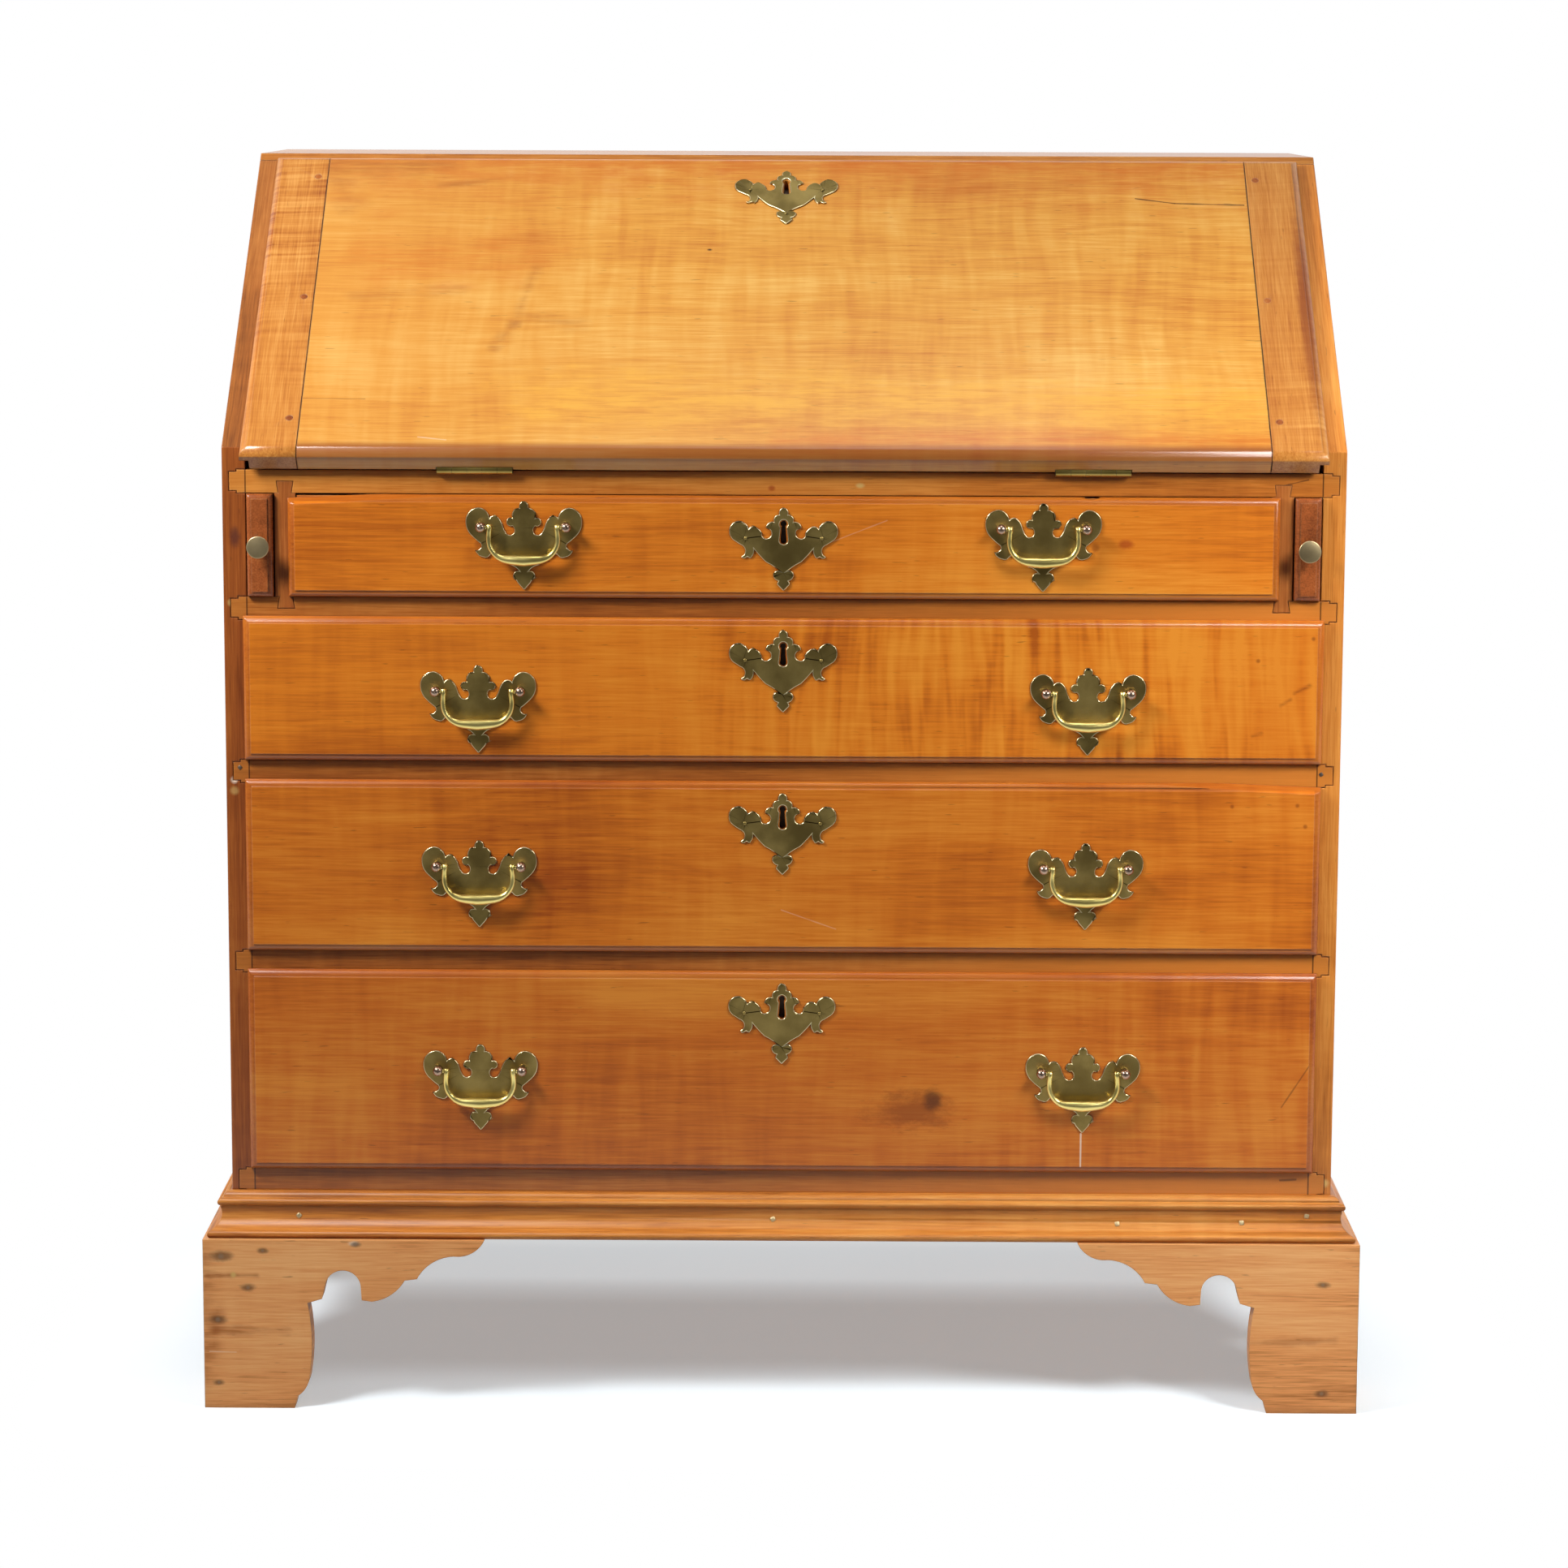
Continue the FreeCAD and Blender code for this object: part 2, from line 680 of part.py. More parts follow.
def bracket_outline(tip):
    """Scrolled bracket, as distance from the outer corner and height."""
    top = FOOT_HEIGHT
    scroll = BRACKET_SCROLL[-1][0]
    run = tip - scroll
    path = [(0, 0)]
    for point in BRACKET_SCROLL:
        path.append(tuple(value * top if index % 2 else value for index, value in enumerate(point)))
    path.append((scroll + 0.2 * run, 0.86 * top, scroll + 0.55 * run, 0.906 * top))
    path.append((scroll + 0.88 * run, 0.942 * top, tip, top))
    path.append((0, top))
    return path


def feet():
    """Front and rear foot of the right-hand side, each as two mitred boards."""
    outer = HALF_WIDTH + FOOT_PROUD
    inner = outer - FOOT_THICKNESS
    face = -FOOT_PROUD
    behind = face + FOOT_THICKNESS
    height = (0, FOOT_HEIGHT)
    front_path = [tuple(shift_first(mirror_first(point), outer)) for point in
                  bracket_outline(FRONT_BRACKET)]
    front = prism("xz", front_path, face, behind)
    side_path = [tuple(shift_first(point, face)) for point in bracket_outline(SIDE_BRACKET)]
    side = prism("yz", side_path, inner, outer)
    front = without(front, prism("xy", ((inner, behind), (outer, face), (outer, behind)), *height))
    side = without(side, prism("xy", ((inner, behind), (outer, face), (inner, face)), *height))
    rear_path = [tuple(shift_first(mirror_first(point), CASE_DEPTH)) for point in
                 bracket_outline(SIDE_BRACKET)]
    rear_side = prism("yz", rear_path, inner, outer)
    plain = (
        (inner, 0),
        (outer - REAR_BRACKET / 2, 0),
        (outer - REAR_BRACKET, FOOT_HEIGHT),
        (inner, FOOT_HEIGHT),
    )
    rear_back = prism("xz", plain, CASE_DEPTH - FOOT_THICKNESS, CASE_DEPTH)
    return [front, side], [rear_side, rear_back]


def glue_blocks():
    inner = HALF_WIDTH + FOOT_PROUD - FOOT_THICKNESS
    across = (inner - GLUE_BLOCK, inner)
    height = (GLUE_BLOCK_LIFT, FOOT_HEIGHT)
    front_y = FOOT_THICKNESS - FOOT_PROUD
    rear_y = CASE_DEPTH - FOOT_THICKNESS
    right = [
        block(across, (front_y, front_y + GLUE_BLOCK), height),
        block(across, (rear_y - GLUE_BLOCK, rear_y), height),
    ]
    return right + [mirrored(piece) for piece in right]


def hinge_leaf(span, moving):
    """One leaf with its knuckles, drawn flat about an axis along X at the origin."""
    knuckle = HINGE_LENGTH / HINGE_KNUCKLES
    if moving:
        level = (LID_INSIDE, LID_INSIDE + LEAF_THICKNESS)
    else:
        level = (-AXIS_LIFT - LEAF_THICKNESS, -AXIS_LIFT)
    leaf = block(span, (0, LEAF_WIDTH), level)
    clear = []
    own = []
    for index in range(HINGE_KNUCKLES):
        low = span[0] + index * knuckle
        ends = (low, low + knuckle)
        if (index % 2 == 1) == moving:
            short = (low + KNUCKLE_GAP / 2, low + knuckle - KNUCKLE_GAP / 2)
            own.append(rod("x", KNUCKLE_RADIUS, short, 0, 0))
        else:
            grown = (ends[0] - KNUCKLE_GAP / 2, ends[1] + KNUCKLE_GAP / 2)
            clear.append(rod("x", KNUCKLE_RADIUS + BARREL_GAP, grown, 0, 0))
    bore = HINGE_PIN_RADIUS + PIN_FIT
    past = (span[0] - KNUCKLE_GAP, span[1] + KNUCKLE_GAP)
    leaf = joined(without(leaf, *clear), *own)
    return without(leaf, rod("x", bore, past, 0, 0))


def hinges():
    fixed = []
    moving = []
    pins = []
    for span in hinge_spans():
        fixed.append(moved(hinge_leaf(span, False), 0, -AXIS_AHEAD, AXIS_HEIGHT))
        moving.append(on_lid(hinge_leaf(span, True)))
        pins.append(rod("x", HINGE_PIN_RADIUS, span, -AXIS_AHEAD, AXIS_HEIGHT))
    return fixed, moving, pins


def keyhole(x, height, y, size):
    """Keyhole tool along Y, with its round eye at a height."""
    eye = rod("y", size, x, y, height)
    foot = size
    waist = 0.6 * size
    slot = (
        (x - waist, height),
        (x + waist, height),
        (x + foot, height - KEYHOLE_LENGTH + foot),
        (x, height - KEYHOLE_LENGTH, x - foot, height - KEYHOLE_LENGTH + foot),
    )
    return joined(eye, prism("xz", slot, y[0], y[1]))


def pin_nail(x, height, face):
    """Small round-headed nail through a brass plate whose front is at y = face."""
    profile = (
        (0, face - PIN_DOME),
        (0.8 * PIN_HEAD, face - 0.67 * PIN_DOME, PIN_HEAD, face),
        (PIN_SHANK, face),
        (PIN_SHANK, face + PIN_LENGTH),
        (0, face + PIN_LENGTH),
    )
    return turned(profile, x, height)


def escutcheon(eye, face, pins):
    """Brass escutcheon and its nails, with the eye of the keyhole at a height."""
    front = face - PLATE_THICKNESS
    path = [tuple(raise_second(point, eye)) for point in both_halves(ESCUTCHEON_HALF)]
    plate = prism("xz", path, front, face)
    through = (front - CUT_PAST, face + CUT_PAST)
    plate = without(plate, keyhole(0, eye, through, KEYHOLE_RADIUS))
    nails = [pin_nail(x, eye + z, front) for x, z in pins]
    holes = [rod("y", PIN_SHANK, x, through, eye + z) for x, z in pins]
    return [without(plate, *holes)] + nails


def raise_second(point, amount):
    return [value + amount if index % 2 else value for index, value in enumerate(point)]


def nail_holes(eye, face, pins):
    depth = PIN_LENGTH - PLATE_THICKNESS
    return [rod("y", PIN_SHANK, x, (face - CUT_PAST, face + depth), eye + z) for x, z in pins]


def lock(low, front):
    """Lock case let in from the inside, with its bolt drawn back."""
    top = low + LOCK_HEIGHT
    deep = (front, front + LOCK_DEPTH)
    case = block((-LOCK_WIDTH / 2, LOCK_WIDTH / 2), deep, (low, top))
    middle = front + LOCK_DEPTH / 2
    wide = BOLT_WIDTH / 2
    thick = BOLT_THICKNESS / 2
    well = block((-wide - BOLT_GAP, wide + BOLT_GAP),
                 (middle - thick - BOLT_GAP, middle + thick + BOLT_GAP),
                 (top - BOLT_HEIGHT, top))
    bolt = block((-wide, wide), (middle - thick, middle + thick), (top - BOLT_HEIGHT, top))
    return [without(case, well), bolt]


def lock_space(low, front):
    wide = (-LOCK_WIDTH / 2, LOCK_WIDTH / 2)
    return block(wide, (front, front + LOCK_DEPTH), (low, low + LOCK_HEIGHT))


def lid_upright(shape):
    """Turns a piece drawn against an upright face to lie on the flat lid."""
    copy = shape.copy()
    copy.rotate(Vector(0, 0, 0), Vector(1, 0, 0), -90)
    return copy


def lid_pieces():
    lip_low = SLANT_PLANE + LID_REST_GAP
    thumb_face = LID_OUTSIDE - THUMB_STEP
    bulge = 1 - math.sqrt(0.5)
    chamfer_top = (LID_CHAMFER_RUN - LID_FOOT, LID_OUTSIDE)
    section = (
        (-LID_FOOT, LID_INSIDE),
        (-LID_FOOT, LID_OUTSIDE - LID_CHAMFER_DROP),
        (chamfer_top[0] - 0.58 * LID_CHAMFER_RUN, LID_OUTSIDE - 0.42 * LID_CHAMFER_DROP) + chamfer_top,
        (LIP_END - THUMB_WIDTH, LID_OUTSIDE),
        (LIP_END - THUMB_WIDTH, thumb_face),
        (LIP_END - THUMB_WIDTH * bulge, thumb_face - THUMB_DEPTH * bulge,
         LIP_END, thumb_face - THUMB_DEPTH),
        (LIP_END, lip_low),
        (BODY_END, lip_low),
        (BODY_END, LID_INSIDE),
    )
    across = (
        (0, LID_INSIDE),
        (LID_BODY_HALF, LID_INSIDE),
        (LID_BODY_HALF, lip_low),
        (LID_LIP_HALF, lip_low),
        (LID_LIP_HALF, thumb_face - THUMB_DEPTH),
        (LID_LIP_HALF - THUMB_WIDTH * bulge, thumb_face - THUMB_DEPTH * bulge,
         LID_LIP_HALF - THUMB_WIDTH, thumb_face),
        (LID_LIP_HALF - THUMB_WIDTH, LID_OUTSIDE),
        (0, LID_OUTSIDE),
    )
    whole = prism("yz", section, -LID_LIP_HALF, LID_LIP_HALF)
    whole = whole.common(prism("xz", both_halves(across), -LID_FOOT, LIP_END))
    length = (-LID_FOOT, LIP_END)
    tall = (LID_INSIDE, LID_OUTSIDE)
    panel = whole.common(block((-BATTEN_JOINT, BATTEN_JOINT), length, tall))
    middle = (LID_INSIDE + LID_OUTSIDE) / 2
    tongue_x = (BATTEN_JOINT, BATTEN_JOINT + TONGUE_LENGTH)
    tongue_y = (-LID_FOOT + TONGUE_STOP, BODY_END - TONGUE_STOP)
    tongue = block(tongue_x, tongue_y, (middle - TONGUE_THICKNESS / 2, middle + TONGUE_THICKNESS / 2))
    panel = joined(panel, tongue, mirrored(tongue))
    batten = whole.common(block((BATTEN_JOINT + LID_SEAM, LID_LIP_HALF), length, tall))
    batten = without(batten, tongue)
    pegs = []
    for share in PEG_SHARES:
        foot = Vector(BATTEN_JOINT + PEG_FROM_JOINT, share * BODY_END, 2 * LID_INSIDE)
        peg = Part.makeCylinder(PEG_RADIUS, LID_THICKNESS - LID_INSIDE, foot)
        pegs.append(peg)
        pegs.append(mirrored(peg))
    panel = without(panel, *pegs)
    batten_right = without(batten, *pegs)
    batten_left = without(mirrored(batten), *pegs)

    cuts = []
    for span in hinge_spans():
        wide = (span[0] - BARREL_GAP, span[1] + BARREL_GAP)
        cuts.append(rod("x", KNUCKLE_RADIUS + BARREL_GAP, wide, 0, 0))
        cuts.append(block(span, (-LID_FOOT, LEAF_WIDTH), (LID_INSIDE, LID_INSIDE + LEAF_THICKNESS)))
    lock_low = BODY_END - LOCK_HEIGHT
    eye = LIP_END - LID_ESCUTCHEON_DROP - THUMB_WIDTH - ESCUTCHEON_TOP
    pins = ESCUTCHEON_PINS + (PENDANT_PIN,)
    lock_front = -LID_INSIDE - LOCK_DEPTH
    cuts.append(lid_upright(lock_space(lock_low, lock_front)))
    cuts.append(lid_upright(keyhole(0, eye, (-LID_OUTSIDE - CUT_PAST, lock_front), KEY_RADIUS)))
    for hole in nail_holes(eye, -LID_OUTSIDE, pins):
        cuts.append(lid_upright(hole))
    panel = without(panel, *cuts)
    brass = [lid_upright(piece) for piece in escutcheon(eye, -LID_OUTSIDE, pins)]
    lock_parts = [lid_upright(piece) for piece in lock(lock_low, lock_front)]
    return {
        "lid_panel": [on_lid(panel)],
        "lid_left_batten": [on_lid(batten_left)],
        "lid_right_batten": [on_lid(batten_right)],
        "lid_pegs": [on_lid(peg) for peg in pegs],
        "lid_escutcheon": [on_lid(piece) for piece in brass],
        "lid_lock": [on_lid(piece) for piece in lock_parts],
    }


def loper():
    """Right-hand loper with its stop peg, and its brass knob."""
    middle = INNER - LOPER_SPACE / 2
    thick = (middle - LOPER_THICKNESS / 2, middle + LOPER_THICKNESS / 2)
    height = (TOP_LEVEL + RUN_GAP, UNDER_LID)
    board = block(thick, (LOPER_PROUD, LOPER_LENGTH), height)
    end = moulded_plate(thick, height, LOPER_PROUD, -LOPER_PROUD, 0.7 * THUMB_WIDTH,
                        0.7 * THUMB_DEPTH, THUMB_STEP)
    board = joined(board, end)
    stop_height, stop_y = loper_stop_place()
    stop_x = (LOPER_WALL - LOPER_STOP_PROUD, LOPER_WALL - LOPER_STOP_PROUD + LOPER_STOP_LENGTH)
    stop = rod("x", LOPER_STOP_RADIUS, stop_x, stop_y, stop_height)
    face = -LOPER_PROUD
    knob_height = (TOP_LEVEL + UNDER_LID) / 2
    profile = (
        (0, face - KNOB_LENGTH),
        (0.5 * KNOB_RADIUS, face - 0.985 * KNOB_LENGTH, 0.92 * KNOB_RADIUS, face - 0.94 * KNOB_LENGTH),
        (KNOB_RADIUS, face - 0.87 * KNOB_LENGTH, 0.94 * KNOB_RADIUS, face - 0.79 * KNOB_LENGTH),
        (0.4 * KNOB_RADIUS, face - 0.55 * KNOB_LENGTH),
        (0.44 * KNOB_RADIUS, face),
        (KNOB_SHANK, face),
        (KNOB_SHANK, face + KNOB_SHANK_LENGTH),
        (0, face + KNOB_SHANK_LENGTH),
    )
    knob = turned(profile, middle, knob_height)
    hole = rod("y", KNOB_SHANK, middle, (face - CUT_PAST, face + KNOB_SHANK_LENGTH), knob_height)
    return [without(board, stop, hole), stop], knob


def tails(count, low, high, root, tip, thick):
    """Row of dovetails on the end of a drawer side, as a list of solids."""
    pitch = (high - low) / count
    half = TAIL_SHARE * pitch / 2
    solids = []
    for index in range(count):
        middle = low + (index + 0.5) * pitch
        path = (
            (root, middle - half),
            (tip, middle - half - TAIL_SLOPE),
            (tip, middle + half + TAIL_SLOPE),
            (root, middle + half),
        )
        solids.append(prism("yz", path, thick[0], thick[1]))
    return solids


def drawer_case(half, front, back, low, high, sizes):
    """Dovetailed sides, back and grooved bottom; also the cuts that the front needs."""
    thick, bottom, groove, lift, lap = sizes
    count = max(1, round((high - low) / TAIL_PITCH))
    wall = (half - thick, half)
    ends = (front, back - thick)
    side = block(wall, ends, (low, high))
    front_tails = tails(count, low, high, front, front - lap, wall)
    bottom_low = low + lift
    bottom_high = bottom_low + bottom
    back_tails = tails(count, bottom_high, high, back - thick, back, wall)
    foot = block(wall, (back - thick, back), (low, bottom_high))
    side = joined(side, foot, *front_tails, *back_tails)
    floor_x = (-half + thick - groove, half - thick + groove)
    floor = block(floor_x, (front - groove, back), (bottom_low, bottom_high))
    side = without(side, floor)
    rear = block((-half, half), (back - thick, back), (bottom_high, high))
    mirrored_tails = [mirrored(tail) for tail in back_tails]
    rear = without(rear, *back_tails, *mirrored_tails)
    front_cuts = front_tails + [mirrored(tail) for tail in front_tails] + [floor]
    return [side, mirrored(side), rear, floor], front_cuts


def bail():
    """Bail about the pivot line at the origin, hanging straight down."""
    left = [(-place, drop, growth) for place, drop, growth in reversed(BAIL_HALF[:-1])]
    shares = list(BAIL_HALF) + left
    points = [Vector(place * BAIL_ARM, 0, -drop * BAIL_DROP) for place, drop, growth in shares]
    line = Part.BSplineCurve()
    line.interpolate(points)
    rings = []
    for point, (place, drop, growth) in zip(points, shares):
        radius = ARM_RADIUS + growth * (GRIP_RADIUS - ARM_RADIUS)
        along = line.tangent(line.parameter(point))[0]
        rings.append(Part.Wire(Part.Circle(point, along, radius).toShape()))
    loop = Part.makeLoft(rings, True, False)
    pieces = []
    for sign in (-1, 1):
        ends = sorted((sign * BAIL_ARM, sign * (POST_HALF_SPACING + BAIL_PIN_PAST)))
        pieces.append(rod("x", BAIL_PIN_RADIUS, ends, 0, 0))
    return loop.fuse(pieces)


def handle(x, height, inside):
    """Plate, posts and nuts of one handle; also the holes it needs in the front."""
    front = FACE_PLANE - PLATE_THICKNESS
    path = [tuple(raise_second(shift_first(point, x), height)) for point in both_halves(PLATE_HALF)]
    plate = prism("xz", path, front, FACE_PLANE)
    posts = []
    nuts = []
    holes = []
    for sign in (-1, 1):
        place = x + sign * POST_HALF_SPACING
        end = inside + NUT_THICKNESS + POST_PAST_NUT
        ball_back = POST_PLANE + math.sqrt(POST_BALL ** 2 - POST_NECK ** 2)
        profile = (
            (0, POST_PLANE - POST_BALL),
            (POST_BALL, POST_PLANE, POST_NECK, ball_back),
            (1.35 * POST_NECK, front),
            (POST_SHANK, front),
            (POST_SHANK, end),
            (0, end),
        )
        reach = POST_HALF_SPACING + BAIL_PIN_PAST + BAIL_PIN_END_GAP
        ends = sorted((x + sign * BAIL_ARM, x + sign * reach))
        socket = rod("x", BAIL_PIN_RADIUS + BAIL_PIN_FIT, ends, POST_PLANE, height)
        posts.append(without(turned(profile, place, height), socket))
        hole = rod("y", POST_SHANK + SHANK_FIT, place, (front - CUT_PAST, end), height)
        holes.append(hole)
        nut_x = (place - NUT_SIZE / 2, place + NUT_SIZE / 2)
        nut_z = (height - NUT_SIZE / 2, height + NUT_SIZE / 2)
        nuts.append(without(block(nut_x, (inside, inside + NUT_THICKNESS), nut_z), hole))
    return [without(plate, *holes)] + posts + nuts, holes


def worn_facet(start, end, top):
    """Cut for a facet at the front of a top lip, fading out from start to end along X."""
    corners = (
        (FACE_PLANE - CUT_PAST, top - FACET_DROP),
        (-LIP_GAP, top - 0.35 * FACET_DROP),
        (-LIP_GAP, top + FACET_DROP),
        (FACE_PLANE - CUT_PAST, top + FACET_DROP),
    )
    points = [Vector(start, y, z) for y, z in corners]
    face = Part.Face(Part.makePolygon(points + points[:1]))
    return face.extrude(Vector(end - start, 0, FACET_DROP))


def drawer(name, half, lip_half, level, opening, handle_place, top, wear):
    """Every node of one large drawer."""
    low = level + RUN_GAP
    body_half = half - SIDE_GAP
    body_top = min(level + opening - TOP_GAP, top)
    body = block((-body_half, body_half), (-LIP_GAP, FRONT_BODY), (low, body_top))
    lip_x = (-lip_half, lip_half)
    lip = moulded_plate(lip_x, (low, top), -LIP_GAP, FACE_PLANE, THUMB_WIDTH, THUMB_DEPTH, THUMB_STEP)
    front = joined(body, without(lip, *wear))
    sizes = (DRAWER_SIDE, DRAWER_BOTTOM, DRAWER_GROOVE, DRAWER_BOTTOM_LIFT, FRONT_BODY - FRONT_LAP)
    case, cuts = drawer_case(body_half, FRONT_BODY, DRAWER_LENGTH, low, body_top, sizes)
    eye = top - ESCUTCHEON_DROP - ESCUTCHEON_TOP
    brass = escutcheon(eye, FACE_PLANE, ESCUTCHEON_PINS)
    cuts = cuts + nail_holes(eye, FACE_PLANE, ESCUTCHEON_PINS)
    lock_low = body_top - LOCK_HEIGHT
    lock_front = FRONT_BODY - LOCK_DEPTH
    cuts.append(lock_space(lock_low, lock_front))
    cuts.append(keyhole(0, eye, (FACE_PLANE - CUT_PAST, lock_front), KEY_RADIUS))
    handle_x, handle_lift = handle_place
    height = (low + top) / 2 + handle_lift
    nodes = {}
    for word, place in (("left", -handle_x), ("right", handle_x)):
        pieces, holes = handle(place, height, FRONT_BODY)
        brass = brass + pieces
        cuts = cuts + holes
        nodes[name + "_" + word + "_bail"] = [moved(bail(), place, POST_PLANE, height)]
    nodes[name + "_front"] = [without(front, *cuts)]
    nodes[name + "_box"] = case
    nodes[name + "_brasses"] = brass
    nodes[name + "_lock"] = lock(lock_low, lock_front)
    return nodes


def drawers():
    lip_half = TOP_DRAWER_SPACE + TOP_LIP_SIDE
    dip_y = (FACE_PLANE - CUT_PAST, -LIP_GAP)
    dip = rod("y", DIP_RADIUS, DIP_SHARE * lip_half, dip_y, UNDER_LID + DIP_RADIUS - DIP_DEPTH)
    facet = worn_facet(-lip_half, -FACET_SHARE * lip_half, UNDER_LID)
    nodes = drawer("top_drawer", TOP_DRAWER_SPACE, lip_half, TOP_LEVEL, TOP_OPENING,
                   (TOP_HANDLE_PLACE, TOP_HANDLE_LIFT), UNDER_LID, [facet, dip])
    lip_half = INNER + LIP_SIDE
    for name, level, opening, lift in (
        ("second_drawer", SECOND_LEVEL, SECOND_OPENING, SECOND_HANDLE_LIFT),
        ("third_drawer", THIRD_LEVEL, THIRD_OPENING, THIRD_HANDLE_LIFT),
        ("bottom_drawer", BOTTOM_LEVEL, BOTTOM_OPENING, BOTTOM_HANDLE_LIFT),
    ):
        top = level + opening + LIP_TOP
        wear = []
        if name == "third_drawer":
            wear.append(worn_facet(lip_half, FACET_SHARE * lip_half, top))
        nodes.update(drawer(name, INNER, lip_half, level, opening, (HANDLE_PLACE, lift), top, wear))
    return nodes


def gallery():
    """Shelf, upright dividers and valances of the pigeonholes behind the lid."""
    deep = (GALLERY_FRONT, BACK_FACE)
    shelf_low = BED_TOP + GALLERY_OPENING
    shelf_top = shelf_low + GALLERY_SHELF
    shelf = block((-INNER, INNER), deep, (shelf_low, shelf_top))
    uprights = []
    wide = (2 * INNER - (GALLERY_DRAWERS - 1) * GALLERY_DIVIDER) / GALLERY_DRAWERS
    for index in range(1, GALLERY_DRAWERS):
        right = -INNER + index * (wide + GALLERY_DIVIDER)
        uprights.append(block((right - GALLERY_DIVIDER, right), deep, (BED_TOP, shelf_low)))
    hole = (2 * INNER - (GALLERY_HOLES - 1) * GALLERY_PARTITION) / GALLERY_HOLES
    valances = []
    front = GALLERY_FRONT + VALANCE_SETBACK
    for index in range(GALLERY_HOLES):
        left = -INNER + index * (hole + GALLERY_PARTITION)
        if index > 0:
            uprights.append(block((left - GALLERY_PARTITION, left), deep, (shelf_top, TOP_UNDERSIDE)))
        valances.append(prism("xz", valance_outline(left, hole), front, front + VALANCE_THICKNESS))
    return shelf, uprights, valances


def valance_outline(left, wide):
    """Cupid's-bow lower edge hanging from the underside of the top board."""
    top = TOP_UNDERSIDE
    drop = VALANCE_HEIGHT
    return (
        (left, top),
        (left, top - drop),
        (left + 0.1 * wide, top - 0.55 * drop, left + 0.28 * wide, top - 0.4 * drop),
        (left + 0.42 * wide, top - 0.48 * drop, left + 0.5 * wide, top - 0.7 * drop),
        (left + 0.58 * wide, top - 0.48 * drop, left + 0.72 * wide, top - 0.4 * drop),
        (left + 0.9 * wide, top - 0.55 * drop, left + wide, top - drop),
        (left + wide, top),
    )


def gallery_drawers():
    wide = (2 * INNER - (GALLERY_DRAWERS - 1) * GALLERY_DIVIDER) / GALLERY_DRAWERS
    half = wide / 2 - SIDE_GAP
    low = BED_TOP + RUN_GAP
    high = BED_TOP + GALLERY_OPENING - SIDE_GAP
    back = GALLERY_FRONT + SMALL_LENGTH
    inside = GALLERY_FRONT + SMALL_FRONT
    sizes = (SMALL_SIDE, SMALL_BOTTOM, SMALL_GROOVE, SMALL_SIDE, SMALL_FRONT - SMALL_GROOVE)
    case, cuts = drawer_case(half, inside, back, low, high, sizes)
    middle = (low + high) / 2
    length = SMALL_KNOB_LENGTH
    radius = SMALL_KNOB_RADIUS
    profile = (
        (0, GALLERY_FRONT - length),
        (radius, GALLERY_FRONT - 0.62 * length, 0.45 * radius, GALLERY_FRONT - 0.24 * length),
        (0.6 * radius, GALLERY_FRONT),
        (SMALL_KNOB_SHANK, GALLERY_FRONT),
        (SMALL_KNOB_SHANK, inside),
        (0, inside),
    )
    knob = turned(profile, 0, middle)
    hole = rod("y", SMALL_KNOB_SHANK, 0, (GALLERY_FRONT - CUT_PAST, inside), middle)
    front = block((-half, half), (GALLERY_FRONT, inside), (low, high))
    pieces = [without(front, hole, *cuts)] + case + [knob]
    nodes = {}
    for index in range(GALLERY_DRAWERS):
        x = -INNER + wide / 2 + index * (wide + GALLERY_DIVIDER)
        nodes["gallery_drawer_" + str(index + 1)] = [moved(piece, x, 0, 0) for piece in pieces]
    return nodes


def desk():
    """Every node of the desk and the solids in it."""
    side = case_side()
    front_foot, rear_foot = feet()
    fixed, moving, pins = hinges()
    shelf, uprights, valances = gallery()
    partition = loper_partition()
    loper_pieces, knob = loper()
    bed_wide = (-INNER - DADO_DEPTH, INNER + DADO_DEPTH)
    nodes = {
        "left_side": [mirrored(side)],
        "right_side": [side],
        "top_board": [top_board()],
        "bottom_board": [cross_rail(CASE_FLOOR, BOTTOM_LEVEL, BACK_FACE)],
        "backboards": backboards(),
        "writing_bed": [block(bed_wide, (BLADE_DEPTH, BACK_FACE), (BED_UNDERSIDE, BED_TOP))],
        "lid_rail": [lid_rail()],
        "drawer_blades": drawer_blades(),
        "loper_partitions": [partition, mirrored(partition)],
        "drawer_runners": drawer_runners(),
        "base_moulding": base_frame(),
        "front_right_foot": front_foot,
        "front_left_foot": [mirrored(board) for board in front_foot],
        "rear_right_foot": rear_foot,
        "rear_left_foot": [mirrored(board) for board in rear_foot],
        "foot_glue_blocks": glue_blocks(),
        "hinge_case_leaves": fixed,
        "hinge_lid_leaves": moving,
        "hinge_pins": pins,
        "gallery_shelf": [shelf],
        "gallery_partitions": uprights,
        "gallery_valances": valances,
        "right_loper": loper_pieces,
        "left_loper": [mirrored(piece) for piece in loper_pieces],
        "right_loper_knob": [knob],
        "left_loper_knob": [mirrored(knob)],
    }
    nodes.update(lid_pieces())
    nodes.update(drawers())
    nodes.update(gallery_drawers())
    return nodes


def main():
    os.makedirs("parts", exist_ok=True)
    for name, pieces in desk().items():
        solids = []
        for piece in pieces:
            solids.extend(piece.Solids)
        shape = Part.makeCompound(solids)
        shape.translate(Vector(0, -MIDDLE_DEPTH, 0))
        shape.exportStep("parts/" + name + ".step")


if __name__ == "__main__":
    main()
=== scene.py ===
import json
import math

import bmesh
import bpy
from mathutils import Matrix, Vector
from mathutils.bvhtree import BVHTree


